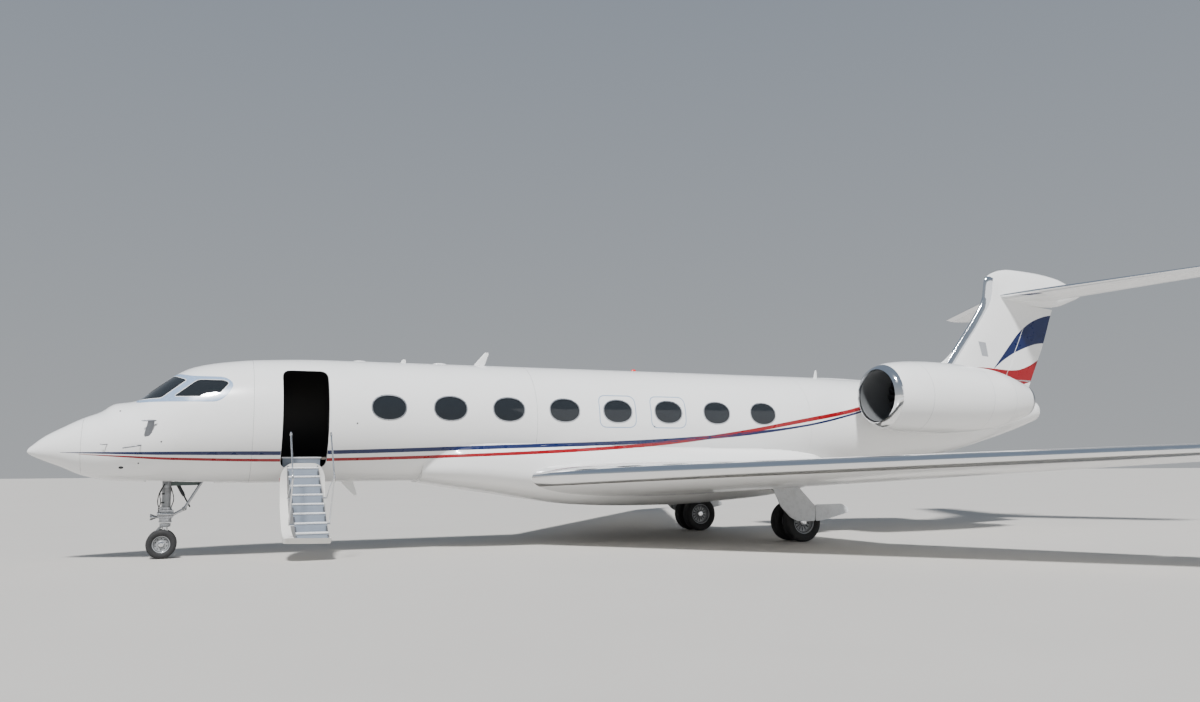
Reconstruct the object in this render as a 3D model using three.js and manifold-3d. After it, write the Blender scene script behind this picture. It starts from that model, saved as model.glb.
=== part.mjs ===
// A rear-engined business jet parked on its gear with the airstair down.
// Millimetres. Stations run aft from the nose tip along +X, +Y is starboard, +Z is up from the ground.
import * as THREE from 'three';
import { mergeVertices } from 'three/addons/utils/BufferGeometryUtils.js';
import Module from 'manifold-3d';

const wasm = await Module();
wasm.setup();

// Overall sizes
const LENGTH = 30100;
const SEAT_GAP = 0.3;
const RUN_GAP = 10;
const PIN_SEAT = 0.6;
const BIG = 40000;

// Fuselage: station, crown, keel, half width, height of the greatest width
const FUSELAGE = [
  [0, 2190, 2130, 30, 2160],
  [90, 2280, 2075, 130, 2175],
  [280, 2440, 1985, 270, 2200],
  [590, 2635, 1865, 440, 2230],
  [980, 2840, 1690, 630, 2270],
  [1260, 2955, 1615, 740, 2305],
  [1500, 3115, 1580, 835, 2340],
  [1900, 3190, 1555, 980, 2400],
  [2250, 3465, 1538, 1080, 2470],
  [2560, 3710, 1528, 1160, 2550],
  [2930, 3910, 1518, 1225, 2650],
  [3580, 4050, 1505, 1300, 2740],
  [4250, 4120, 1500, 1335, 2800],
  [5690, 4170, 1500, 1355, 2835],
  [17900, 4175, 1500, 1355, 2840],
  [19400, 4150, 1540, 1330, 2850],
  [21200, 4100, 1760, 1210, 2930],
  [22950, 4020, 2090, 1000, 3060],
  [24500, 3920, 2450, 740, 3190],
  [26000, 3790, 2860, 460, 3330],
  [26750, 3700, 3100, 300, 3400],
];
const WALL = 100;
const TAIL_WALL = 60;
const FUSELAGE_SIDES = 30;

// Antenna blades on the centre line: outlines in the side view, foot inside the wall
const UPPER_ANTENNA = [[8990, 4130], [9250, 4130], [9400, 4470], [9350, 4510], [9290, 4490]];
const TAIL_ANTENNA = [[18660, 4100], [18800, 4100], [18790, 4390], [18740, 4400]];
const LOWER_ANTENNA = [[5990, 1560], [6290, 1560], [6390, 1210], [6320, 1195]];
const ANTENNA_HALF = 9;

// Production breaks between the fuselage sections
const RADOME_END = 980;
const COCKPIT_END = 4100;
const CABIN_BREAK = 10150;
const CABIN_END = 17600;
const TAIL_CAVITY_END = 26100;
const COCKPIT_CAVITY_START = 1500;

// Belly fairing: station, top, bottom, half width
const FAIRING = [
  [7650, 2250, 1480, 900],
  [8440, 2440, 1340, 1330],
  [9300, 2490, 1210, 1440],
  [10400, 2500, 1030, 1480],
  [11400, 2470, 900, 1500],
  [12800, 2430, 840, 1510],
  [14000, 2400, 835, 1510],
  [15300, 2370, 895, 1500],
  [16500, 2340, 985, 1470],
  [17700, 2190, 1180, 1400],
  [18500, 1900, 1440, 1050],
];
const FAIRING_ROUNDNESS = 2.7;
const FAIRING_SIDES = 28;

// Cabin windows: eight a side on one pitch
const WINDOW_COUNT = 8;
const WINDOW_FIRST = 6815;
const WINDOW_PITCH = 1334;
const WINDOW_HEIGHT_CENTRE = 3070;
const WINDOW_WIDTH = 711;
const WINDOW_HEIGHT = 521;
const OVAL_POWER = 0.92;
const PANE_DEPTH = 30;
const PANE_SKIN = 18;

// Cabin inside
const FLOOR_TOP = 2030;
const FLOOR_THICK = 50;
const BULKHEAD_THICK = 40;

// Entrance door: outline in the port wall, hinged along its lower outer edge
const DOOR_FRONT = 4660;
const DOOR_REAR = 5580;
const DOOR_BOTTOM = 1800;
const DOOR_TOP = 3840;
const DOOR_CORNER = 150;
const DOOR_LOWER_CORNER = 230;
const DOOR_OPEN_DEG = 135;
const STEP_COUNT = 8;
const STEP_FIRST = 116;
const STEP_PITCH = 255;
const STEP_RISE = 150;
const STEP_FRONT = 4800;
const STEP_WIDTH = 620;
const STEP_DRIFT = 10;
const TREAD_DEPTH = 180;
const TREAD_THICK = 32;
const RAIL_RADIUS = 15;
const RAIL_STATIONS = [4765, 5535];
// Rail corners as distance along the stair and out from the line of the door's edge
const RAIL_PATH = [[280, 1276], [1377, 1100], [1650, 100]];

// Nose gear
const NOSE_AXLE = [2485, 290];
const NOSE_STRUT_X = 2520;
const NOSE_BAY = [2130, 3440, 250];
const STEER_TOP = 700;
const NOSE_TYRE_RADIUS = 290;
const NOSE_TYRE_WIDTH = 190;
const NOSE_TYRE_Y = 185;

// Main gear
const MAIN_AXLE = [16230, 2460, 462];
const LEG_TOP_X = 16080;
const LEG_DOOR_Y = 2950;
// Leg door with the blade that reaches aft over the wheel
const LEG_DOOR = [
  [15277, 1300], [15516, 825], [15753, 591], [15943, 495], [16444, 481], [16642, 487],
  [17427, 664], [17400, 760], [17234, 866], [16427, 864], [16016, 1274],
];
// Inner gear door, of which one corner hangs below the belly
const BELLY_DOOR_Y = 1000;
const BELLY_DOOR = [[12824, 732], [13382, 718], [13600, 860], [13650, 1010], [13000, 1010]];
const LEG_BAY = [15780, 16300, 1560, 2680];
const LEG_BAY_ROOF = 1360;
const JACK_PAD = [14600, 2600, 1130];
const MAIN_TYRE_RADIUS = 462;
const MAIN_TYRE_WIDTH = 300;
const MAIN_TYRE_OFFSET = 250;
const WHEEL_SIDES = 24;

// Wing: distance out, height of the leading edge, station of the leading edge, chord,
// thickness ratio, fall of the trailing edge, cant in degrees
const WING = [
  [900, 1552, 9570, 7600, 0.105, 270, 0],
  [1500, 1574, 10025, 7110, 0.105, 270, 0],
  [5000, 1708, 12695, 4405, 0.102, 285, 0],
  [9600, 1885, 16200, 3000, 0.1, 150, 0],
  [14050, 2056, 19590, 1630, 0.1, 40, 4],
  [14620, 2130, 20060, 1370, 0.1, 30, 25],
  [14930, 2360, 20400, 1190, 0.09, 20, 58],
  [15020, 2700, 20760, 990, 0.085, 15, 78],
  [15155, 3620, 21560, 560, 0.08, 8, 80],
];
const EDGE_THICK = 9;
const CHORD_STEPS = [1, 0.86, 0.74, 0.6, 0.42, 0.25, 0.12, 0.04, 0.008];

// Hinged pieces of the wing: where they start and end, the hinge as a share of the chord at either end,
// and the most they turn, in degrees
const FLAP_INNER = { from: 1700, to: 4900, start: 0.902, end: 0.844, turn: 39 };
const FLAP_OUTER = { from: 5060, to: 10300, start: 0.79, end: 0.75, turn: 39 };
const AILERON = { from: 10500, to: 13600, start: 0.75, end: 0.75, turn: 25 };
const AIRBRAKE = { from: 5300, to: 8300, start: 0.6, end: 0.57, chord: 330, thick: 22 };

// Fin: height, station of the leading edge, chord, thickness ratio
const FIN = [
  [3650, 22400, 4060, 0.1],
  [4230, 22930, 3800, 0.1],
  [5500, 24010, 3385, 0.1],
  [6200, 24590, 3105, 0.1],
  [6790, 24990, 2930, 0.1],
];
const RUDDER = { from: 4300, to: 6690, start: 0.7, end: 0.68, turn: 25 };
const DORSAL = [[19900, 4100], [21300, 4290], [22500, 4500], [23400, 4800], [23500, 3800], [20000, 3800]];

// Tailplane: distance out, height, station of the leading edge, chord, thickness ratio
const TAILPLANE = [
  [0, 6900, 25500, 2380, 0.1],
  [2700, 7022, 27095, 1890, 0.095],
  [5400, 7143, 28690, 1410, 0.09],
];
const ELEVATOR = { from: 420, to: 5150, start: 0.7, end: 0.68, turn: 25 };
// How far the round nose of a hinged piece would stand out of the surface, which trims it flush
const NOSE_PROUD = 5;
// Bullet on the fin's top: station, top, bottom, half width. Its front carries the fin's leading edge on.
const BULLET_SIDES = 12;
const BULLET = [
  [24975, 6880, 6560, 12],
  [25060, 7200, 6480, 62],
  [25160, 7430, 6460, 100],
  [25505, 7660, 6450, 150],
  [26147, 7781, 6450, 195],
  [27051, 7752, 6480, 215],
  [28030, 7650, 6700, 200],
  [28700, 7440, 6930, 130],
  [29223, 7215, 7150, 25],
];

// Engines: the fan's place, the toe that brings the tail pipe inwards, in degrees, and the duct's
// profile as station and radius
const ENGINE_Y = 2300;
const ENGINE_Z = 3515;
const ENGINE_TOE = 3;
const NACELLE_OUTER = [
  [18870, 700],
  [18950, 765],
  [19230, 850],
  [19900, 915],
  [20700, 932],
  [22000, 885],
  [22700, 820],
  [23500, 630],
  [24130, 441],
];
const NACELLE_INNER = [[24130, 416], [22600, 690], [21000, 760], [19850, 665], [19030, 640], [18890, 660]];
// Pylon: distance out, height, station of the leading edge, chord, thickness ratio
const PYLON = [
  [900, 3450, 20300, 4150, 0.075],
  [1700, 3500, 20450, 3350, 0.075],
];
// Fan shaft and spinner, from the fan's own station, and the core's outline: station and radius
const SPINNER = [[-330, 0], [-300, 50], [-180, 140], [-60, 200], [60, 215], [90, 60]];
const FAN_STATION = 19900;
const FAN_RADIUS = 652;
const FAN_BLADES = 12;
const NACELLE_SIDES = 26;
const CORE_START = 20020;
const CORE = [[20400, 360], [22600, 400], [23500, 280], [23980, 90], [23980, 0]];
const CORE_VANES = 6;

const PAINT = { color: 0xf4f4f2, roughness: 0.22, metalness: 0 };
const GEAR_STEEL = { color: 0x9da1a5, roughness: 0.35, metalness: 0.8 };
const DARK_METAL = { color: 0x3a3c40, roughness: 0.45, metalness: 0.8 };
const TYRE = { color: 0x17181a, roughness: 0.9, metalness: 0 };
const GLASS = { color: 0x1a1e22, roughness: 0.06, metalness: 0 };
const CREAM = { color: 0xcdbf9f, roughness: 0.7, metalness: 0 };
const CARPET = { color: 0x5a4f43, roughness: 0.95, metalness: 0 };
const TREAD = { color: 0xb4b7ba, roughness: 0.4, metalness: 0.9 };

const aircraft = new THREE.Group();
aircraft.position.x = -LENGTH / 2;

// Solids

function signedVolume(points, index) {
  const a = new THREE.Vector3();
  const b = new THREE.Vector3();
  const c = new THREE.Vector3();
  let sum = 0;
  for (let i = 0; i < index.length; i += 3) {
    a.fromBufferAttribute(points, index[i]);
    b.fromBufferAttribute(points, index[i + 1]);
    c.fromBufferAttribute(points, index[i + 2]);
    sum += a.dot(b.cross(c));
  }
  return sum;
}

function solid(geometry) {
  const bare = geometry.clone();
  bare.deleteAttribute('normal');
  bare.deleteAttribute('uv');
  const merged = mergeVertices(bare, 0.001);
  const all = merged.index.array;
  const kept = [];
  for (let i = 0; i < all.length; i += 3) {
    if (all[i] !== all[i + 1] && all[i + 1] !== all[i + 2] && all[i] !== all[i + 2]) {
      kept.push(all[i], all[i + 1], all[i + 2]);
    }
  }
  if (signedVolume(merged.attributes.position, kept) < 0) {
    kept.reverse();
  }
  return new wasm.Manifold(new wasm.Mesh({
    numProp: 3,
    vertProperties: new Float32Array(merged.attributes.position.array),
    triVerts: new Uint32Array(kept),
  }));
}

function geometryOf(body) {
  const mesh = body.getMesh();
  const geometry = new THREE.BufferGeometry();
  geometry.setAttribute('position', new THREE.BufferAttribute(new Float32Array(mesh.vertProperties), 3));
  geometry.setIndex(new THREE.BufferAttribute(new Uint32Array(mesh.triVerts), 1));
  geometry.computeVertexNormals();
  return geometry;
}

function mirrored(body) {
  const geometry = geometryOf(body);
  geometry.scale(1, -1, 1);
  return solid(geometry);
}

function moved(body, x, y, z) {
  const geometry = geometryOf(body);
  geometry.translate(x, y, z);
  return solid(geometry);
}

function turnedX(body, degrees, y, z) {
  const geometry = geometryOf(body);
  geometry.translate(0, -y, -z);
  geometry.rotateX(THREE.MathUtils.degToRad(degrees));
  geometry.translate(0, y, z);
  return solid(geometry);
}

// A closed skin over rings that all have the same number of points
function loft(rings) {
  const count = rings[0].length;
  const points = rings.flat();
  const index = [];
  for (let r = 0; r + 1 < rings.length; r += 1) {
    for (let i = 0; i < count; i += 1) {
      const a = r * count + i;
      const b = r * count + (i + 1) % count;
      index.push(a, b, b + count, a, b + count, a + count);
    }
  }
  for (const r of [0, rings.length - 1]) {
    const centre = rings[r].reduce((sum, p) => sum.add(p), new THREE.Vector3()).divideScalar(count);
    points.push(centre);
    for (let i = 0; i < count; i += 1) {
      const a = r * count + i;
      const b = r * count + (i + 1) % count;
      index.push(...(r === 0 ? [points.length - 1, b, a] : [points.length - 1, a, b]));
    }
  }
  const geometry = new THREE.BufferGeometry().setFromPoints(points);
  geometry.setIndex(index);
  return solid(geometry);
}

function box(x0, x1, y0, y1, z0, z1) {
  const geometry = new THREE.BoxGeometry(x1 - x0, y1 - y0, z1 - z0);
  geometry.translate((x0 + x1) / 2, (y0 + y1) / 2, (z0 + z1) / 2);
  return solid(geometry);
}

function rod(from, to, radius, sides = 16, endRadius = radius) {
  const a = new THREE.Vector3(...from);
  const b = new THREE.Vector3(...to);
  const geometry = new THREE.CylinderGeometry(endRadius, radius, a.distanceTo(b), sides);
  const up = new THREE.Vector3(0, 1, 0);
  geometry.applyQuaternion(new THREE.Quaternion().setFromUnitVectors(up, b.clone().sub(a).normalize()));
  geometry.translate(...a.add(b).divideScalar(2).toArray());
  return solid(geometry);
}

// An outline drawn in the plane square to the axis and pushed along it
function prism(outline, axis, from, to) {
  const pairs = axis === 'y' ? outline.map(([x, z]) => [z, x]) : outline;
  const shape = new THREE.Shape(pairs.map(([u, v]) => new THREE.Vector2(u, v)));
  const options = { depth: to - from, bevelEnabled: false };
  const geometry = new THREE.ExtrudeGeometry(shape, options);
  geometry.translate(0, 0, from);
  const x = new THREE.Vector3(1, 0, 0);
  const y = new THREE.Vector3(0, 1, 0);
  const z = new THREE.Vector3(0, 0, 1);
  const basis = new THREE.Matrix4();
  if (axis === 'x') {
    basis.makeBasis(y, z, x);
  } else if (axis === 'y') {
    basis.makeBasis(z, x, y);
  }
  geometry.applyMatrix4(basis);
  return solid(geometry);
}

// A profile of stations and radii turned about an axis that runs aft
function turned(profile, sides, y = 0, z = 0) {
  const geometry = new THREE.LatheGeometry(profile.map(([x, r]) => new THREE.Vector2(r, x)), sides);
  geometry.rotateZ(-Math.PI / 2);
  geometry.translate(0, y, z);
  return solid(geometry);
}

// A profile of offsets and radii turned about an axle that runs athwart
function wheelForm(profile, sides) {
  const geometry = new THREE.LatheGeometry(profile.map(([y, r]) => new THREE.Vector2(r, y)), sides);
  return solid(geometry);
}

function add(name, body, finish, parent = aircraft, place = [0, 0, 0]) {
  const mesh = new THREE.Mesh(geometryOf(body), new THREE.MeshStandardMaterial(finish));
  mesh.name = name;
  mesh.position.set(...place);
  parent.add(mesh);
}

function join(...bodies) {
  return bodies.reduce((sum, body) => sum.add(body));
}

function roundedBox(x0, x1, z0, z1, radius) {
  const outline = [];
  const corners = [[x1 - radius, z1 - radius, 0], [x0 + radius, z1 - radius, 1],
    [x0 + radius, z0 + radius, 2], [x1 - radius, z0 + radius, 3]];
  for (const [x, z, quarter] of corners) {
    for (let i = 0; i <= 4; i += 1) {
      const angle = (quarter + i / 4) * Math.PI / 2;
      outline.push([x + radius * Math.cos(angle), z + radius * Math.sin(angle)]);
    }
  }
  return outline;
}

function oval(x, z, width, height, count = 12) {
  const outline = [];
  for (let i = 0; i < count; i += 1) {
    const angle = 2 * Math.PI * i / count;
    const c = Math.cos(angle);
    const s = Math.sin(angle);
    outline.push([
      x + width / 2 * Math.sign(c) * Math.abs(c) ** OVAL_POWER,
      z + height / 2 * Math.sign(s) * Math.abs(s) ** OVAL_POWER,
    ]);
  }
  return outline;
}

// Fuselage

function bodyRing([x, crown, keel, half, waist], grow) {
  const ring = [];
  for (let i = 0; i < FUSELAGE_SIDES; i += 1) {
    const angle = 2 * Math.PI * (i + 0.5) / FUSELAGE_SIDES;
    const tall = (Math.cos(angle) > 0 ? crown - waist : waist - keel) + grow;
    ring.push(new THREE.Vector3(x, (half + grow) * Math.sin(angle), waist + tall * Math.cos(angle)));
  }
  return ring;
}

function rowAt(table, key) {
  let i = 0;
  while (i < table.length - 2 && table[i + 1][0] < key) {
    i += 1;
  }
  const share = (key - table[i][0]) / (table[i + 1][0] - table[i][0]);
  return table[i].map((value, column) => value + share * (table[i + 1][column] - value));
}

function bodySolid(from, to, grow) {
  const inside = FUSELAGE.filter(([x]) => x > from + 1 && x < to - 1);
  const rows = [rowAt(FUSELAGE, from), ...inside, rowAt(FUSELAGE, to)];
  return loft(rows.map((row) => bodyRing(row, grow)));
}

function fairingSolid(grow) {
  return loft(FAIRING.map(([x, top, bottom, half]) => {
    const ring = [];
    const middle = (top + bottom) / 2;
    for (let i = 0; i < FAIRING_SIDES; i += 1) {
      const angle = 2 * Math.PI * (i + 0.5) / FAIRING_SIDES;
      const c = Math.cos(angle);
      const s = Math.sin(angle);
      const power = 2 / FAIRING_ROUNDNESS;
      ring.push(new THREE.Vector3(
        x,
        (half + grow) * Math.sign(s) * Math.abs(s) ** power,
        middle + ((top - bottom) / 2 + grow) * Math.sign(c) * Math.abs(c) ** power,
      ));
    }
    return ring;
  }));
}

const wholeBody = bodySolid(0, FUSELAGE.at(-1)[0], 0);
const bodyKeepOut = bodySolid(0, FUSELAGE.at(-1)[0], SEAT_GAP);
const cabinCavity = bodySolid(COCKPIT_CAVITY_START, CABIN_END + 10, -WALL);
const tailCavity = bodySolid(CABIN_END - 10, TAIL_CAVITY_END, -TAIL_WALL);
const wholeFairing = fairingSolid(0);
const fairingKeepOut = fairingSolid(SEAT_GAP);

function between(body, from, to) {
  return body.intersect(box(from + SEAT_GAP / 2, to - SEAT_GAP / 2, -BIG, BIG, -BIG, BIG));
}

const windowCentres = [];
for (let i = 0; i < WINDOW_COUNT; i += 1) {
  windowCentres.push(WINDOW_FIRST + i * WINDOW_PITCH);
}

function windowPrism(x, shrink, y0, y1) {
  const width = WINDOW_WIDTH - 2 * shrink;
  const height = WINDOW_HEIGHT - 2 * shrink;
  return prism(oval(x, WINDOW_HEIGHT_CENTRE, width, height), 'y', y0, y1);
}

// Cockpit glass: the four panes as outlines in the side view, front pair and side pair
const FRONT_PANE = [[1960, 3215], [2330, 3210], [2810, 3590], [2590, 3690]];
const SIDE_PANE = [[2600, 3235], [3290, 3235], [3440, 3285], [3630, 3530], [3530, 3588], [3040, 3597]];
const PANE_POST = 45;

function paneCutter(outline, side, shrink) {
  const share = 1 / outline.length;
  const middle = outline.reduce(([u, v], [x, z]) => [u + x * share, v + z * share], [0, 0]);
  const drawn = outline.map(([x, z]) => {
    const dx = x - middle[0];
    const dz = z - middle[1];
    const size = Math.hypot(dx, dz);
    return [x - dx / size * shrink, z - dz / size * shrink];
  });
  const inner = PANE_POST + shrink;
  return side > 0 ? prism(drawn, 'y', inner, 1700) : prism(drawn, 'y', -1700, -inner);
}

const glassSkin = bodySolid(1500, 4050, -6).subtract(bodySolid(1400, 4060, -26));
const cockpitCutters = [];
for (const [name, outline] of [['windshield', FRONT_PANE], ['side_window', SIDE_PANE]]) {
  for (const [word, side] of [['port', -1], ['starboard', 1]]) {
    cockpitCutters.push(paneCutter(outline, side, 0));
    add(`${word}_${name}`, glassSkin.intersect(paneCutter(outline, side, 1)), GLASS);
  }
}

const shell = wholeBody.subtract(cabinCavity);
const noseBay = box(NOSE_BAY[0], NOSE_BAY[1], -NOSE_BAY[2], NOSE_BAY[2], 1300, 1900);
let cockpit = between(shell, RADOME_END, COCKPIT_END).subtract(noseBay);
for (const cutter of cockpitCutters) {
  cockpit = cockpit.subtract(cutter);
}
add('radome', between(wholeBody, -100, RADOME_END), PAINT);
add('cockpit_shell', cockpit, PAINT);

const doorway = roundedBox(DOOR_FRONT, DOOR_REAR, DOOR_BOTTOM, DOOR_TOP, DOOR_CORNER);
const doorCutter = prism(doorway, 'y', -1700, -500);
function cabinShell(from, to) {
  let body = between(shell, from, to);
  for (const x of windowCentres.filter((centre) => centre > from && centre < to)) {
    body = body.subtract(windowPrism(x, 0, -1700, 1700));
  }
  return body;
}
const blade = (outline) => prism(outline, 'y', -ANTENNA_HALF, ANTENNA_HALF);
const forwardCabin = cabinShell(COCKPIT_END, CABIN_BREAK).subtract(doorCutter);
add('forward_cabin_shell', join(forwardCabin, blade(UPPER_ANTENNA), blade(LOWER_ANTENNA)), PAINT);
add('aft_cabin_shell', cabinShell(CABIN_BREAK, CABIN_END), PAINT);

// Cabin window panes, eight raised ovals on one lining band each side
function windowRow() {
  const behindWall = bodySolid(6300, 16700, -WALL - SEAT_GAP);
  const lining = behindWall.subtract(bodySolid(6200, 16800, -WALL - PANE_DEPTH));
  let row = lining.intersect(box(-BIG, BIG, 0, BIG, 2960, 3180));
  const panes = bodySolid(6200, 16800, -PANE_SKIN).subtract(bodySolid(6100, 16900, -WALL - PANE_DEPTH));
  for (const x of windowCentres) {
    row = row.add(panes.intersect(windowPrism(x, SEAT_GAP, 0, 1700)));
  }
  return row;
}
const starboardWindows = windowRow();
add('starboard_cabin_windows', starboardWindows, GLASS);
add('port_cabin_windows', mirrored(starboardWindows), GLASS);

// Rear fuselage with the exhaust of the auxiliary power unit in its end
const exhaust = rod([26400, 0, 3430], [27000, 0, 3430], 150, 20);
const rearShell = between(wholeBody.subtract(tailCavity), CABIN_END, 26800).subtract(exhaust);
add('rear_fuselage', rearShell.add(blade(TAIL_ANTENNA)), PAINT);

// Belly fairing round the wing box, with the corners of the inner gear doors below it
const bellyDoors = [-1, 1].map((side) => {
  const middle = side * BELLY_DOOR_Y;
  return prism(BELLY_DOOR, 'y', middle - 10, middle + 10);
});
add('wing_body_fairing', join(wholeFairing.subtract(bodyKeepOut), ...bellyDoors), PAINT);

// Inside the cabin
const innerLimit = bodySolid(1200, CABIN_END + 20, -WALL - SEAT_GAP);
function insideBox(x0, x1, y0, y1, z0, z1) {
  return box(x0, x1, y0, y1, z0, z1).intersect(innerLimit);
}
const entryClear = box(DOOR_FRONT - 60, DOOR_REAR + 60, -BIG, -600, 0, 5000);
const floor = insideBox(2000, CABIN_END - 60, -BIG, BIG, FLOOR_TOP - FLOOR_THICK, FLOOR_TOP);
add('cabin_floor', floor.subtract(entryClear), CARPET);
const doorwayHole = prism(roundedBox(-310, 310, FLOOR_TOP - 200, 3900, 60), 'x', 4000, 20000);
const aboveFloor = FLOOR_TOP + SEAT_GAP;
const forwardBulkhead = insideBox(4200, 4200 + BULKHEAD_THICK, -BIG, BIG, aboveFloor, 5000);
add('cockpit_bulkhead', forwardBulkhead.subtract(doorwayHole), CREAM);
const partition = insideBox(5900, 5900 + BULKHEAD_THICK, -BIG, BIG, aboveFloor, 5000);
add('entry_partition', partition.subtract(doorwayHole), CREAM);
add('aft_bulkhead', insideBox(CABIN_END - 50, CABIN_END - 10, -BIG, BIG, -BIG, 5000), CREAM);
const DESK = [[2180, aboveFloor], [2420, aboveFloor], [2480, 2800], [2420, 3020], [2180, 3040]];
const desk = prism(DESK, 'y', -800, 800);
const pedestal = box(2400, 3080, -150, 150, aboveFloor, 2620);
add('instrument_panel', join(desk, pedestal).intersect(innerLimit), DARK_METAL);

// A seat that faces forward, at the middle of its cushion
function seat(x, y) {
  const top = FLOOR_TOP + 430;
  const back = [[x + 150, top - 30], [x + 250, top - 30], [x + 400, 3100], [x + 300, 3130]];
  return join(
    box(x - 250, x + 250, y - 240, y + 240, aboveFloor, top),
    prism(back, 'y', y - 220, y + 220),
  );
}
add('port_pilot_seat', seat(3120, -480), CREAM);
add('starboard_pilot_seat', seat(3120, 480), CREAM);
const CABIN_SEATS = [7300, 8900, 11400, 13000, 15200];
const cabinSeats = [];
for (const x of CABIN_SEATS) {
  cabinSeats.push(seat(x, 640));
}
const seatTrack = box(7000, 15600, 600, 680, aboveFloor, FLOOR_TOP + 40);
const seatRow = join(seatTrack, ...cabinSeats);
add('starboard_cabin_seats', seatRow, CREAM);
add('port_cabin_seats', mirrored(seatRow), CREAM);

// Wing

function foilHalf(c, ratio) {
  const s = Math.sqrt(c);
  return 5 * ratio * (0.2969 * s - 0.126 * c - 0.3516 * c ** 2 + 0.2843 * c ** 3 - 0.1036 * c ** 4);
}

function foilRing(chord, ratio, at) {
  const ring = [];
  for (const c of CHORD_STEPS) {
    ring.push(at(c, chord * foilHalf(c, ratio) + EDGE_THICK / 2 * c));
  }
  ring.push(at(0, 0));
  for (const c of [...CHORD_STEPS].reverse()) {
    ring.push(at(c, -chord * foilHalf(c, ratio) - EDGE_THICK / 2 * c));
  }
  return ring;
}

function wingRing([y, z, x, chord, ratio, fall, cant]) {
  const lean = THREE.MathUtils.degToRad(cant);
  return foilRing(chord, ratio, (c, up) => new THREE.Vector3(
    x + c * chord,
    y - up * Math.sin(lean),
    z - c * fall + up * Math.cos(lean),
  ));
}

function hingeShare(spec, s) {
  return spec.start + (spec.end - spec.start) * (s - spec.from) / (spec.to - spec.from);
}
function noseRadius(chord, share, ratio) {
  return chord * foilHalf(share, ratio) + EDGE_THICK / 2 * share + NOSE_PROUD;
}
function wingHinge(spec, y) {
  const share = hingeShare(spec, y);
  const [, z, x, chord, ratio, fall] = rowAt(WING, y);
  return { x: x + share * chord, z: z - share * fall, radius: noseRadius(chord, share, ratio) };
}

// Splits a trailing-edge piece off a surface along its hinge: [surface left behind, piece that turns].
// A slanted hinge carries the piece towards its outer end as it turns, so that end is cut back.
function hinged(surface, spec, hingeAt, upright) {
  const a = hingeAt(spec, spec.from);
  const b = hingeAt(spec, spec.to);
  const corner = (end, s, dx, d) => (upright
    ? new THREE.Vector3(end.x + dx, d, s)
    : new THREE.Vector3(end.x + dx, s, end.z + d));
  const aft = (end, s) => [
    corner(end, s, 0, -900),
    corner(end, s, BIG, -900),
    corner(end, s, BIG, 900),
    corner(end, s, 0, 900),
  ];
  const slab = (from, to) => (upright
    ? box(-BIG, BIG, -BIG, BIG, from, to)
    : box(-BIG, BIG, from, to, -BIG, BIG));
  const along = (share) => {
    const end = { x: a.x + share * (b.x - a.x), z: a.z + share * (b.z - a.z) };
    const s = spec.from + share * (spec.to - spec.from);
    return upright ? [end.x, 0, s] : [end.x, s, end.z];
  };
  const reach = 0.03;
  const nose = (extra) => {
    const r0 = a.radius - reach * (b.radius - a.radius) + extra;
    const r1 = b.radius + reach * (b.radius - a.radius) + extra;
    return rod(along(-reach), along(1 + reach), r0, 20, r1);
  };
  const behind = loft([aft(a, spec.from), aft(b, spec.to)]);
  const cut = behind.add(nose(RUN_GAP).intersect(slab(spec.from, spec.to)));
  const way = new THREE.Vector3(...along(1)).sub(new THREE.Vector3(...along(0))).normalize();
  const rise = upright ? 0 : way.z;
  const turn = THREE.MathUtils.degToRad(spec.turn);
  const shift = 2 * Math.sin(turn / 2) * Math.abs(way.x) + Math.sin(turn) * rise;
  const low = spec.from + RUN_GAP + a.radius * shift;
  const high = spec.to - RUN_GAP - b.radius * shift;
  const slant = (1 - Math.cos(turn)) * Math.abs(way.x) + Math.sin(turn) * rise;
  const tail = 1500;
  const aftEnd = b.x + tail;
  const outline = [[-BIG, low], [aftEnd, low], [aftEnd, high - slant * tail], [b.x, high], [-BIG, high]];
  const inside = prism(outline, upright ? 'y' : 'z', -BIG, BIG);
  const span = spec.to - spec.from;
  const root = 2 * RUN_GAP;
  const pins = join(
    rod(along((low + root - spec.from) / span), along(PIN_SEAT / span), 9, 6, 1),
    rod(along((high - root - spec.from) / span), along(1 - PIN_SEAT / span), 9, 6, 1),
  );
  const piece = surface.intersect(behind.add(nose(0))).intersect(inside).add(pins);
  return [surface.subtract(cut), piece];
}

const wingLoft = loft(WING.map(wingRing));
let wing = wingLoft;
const wingPieces = {};
const wingSpecs = { inboard_flap: FLAP_INNER, outboard_flap: FLAP_OUTER, aileron: AILERON };
for (const [name, spec] of Object.entries(wingSpecs)) {
  const [rest, piece] = hinged(wing, spec, wingHinge, false);
  wing = rest;
  wingPieces[name] = piece;
}

// Airbrake: a plate let into the upper surface, hinged at its front edge
function upperSurface(y, share) {
  const [, z, x, chord, ratio, fall] = rowAt(WING, y);
  const height = z - share * fall + chord * foilHalf(share, ratio) + EDGE_THICK / 2 * share;
  return [x + share * chord, height];
}
function platePocket(gap, thick, lift) {
  const ends = [[AIRBRAKE.from + gap, AIRBRAKE.start], [AIRBRAKE.to - gap, AIRBRAKE.end]];
  return loft(ends.map(([y, share]) => {
    const chord = rowAt(WING, y)[3];
    const [x0, z0] = upperSurface(y, share);
    const [x1, z1] = upperSurface(y, share + AIRBRAKE.chord / chord);
    return [
      new THREE.Vector3(x0 + gap, y, z0 - thick),
      new THREE.Vector3(x1 - gap, y, z1 - thick),
      new THREE.Vector3(x1 - gap, y, z1 + lift),
      new THREE.Vector3(x0 + gap, y, z0 + lift),
    ];
  }));
}
wing = wing.subtract(platePocket(0, AIRBRAKE.thick + RUN_GAP, 60));
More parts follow.
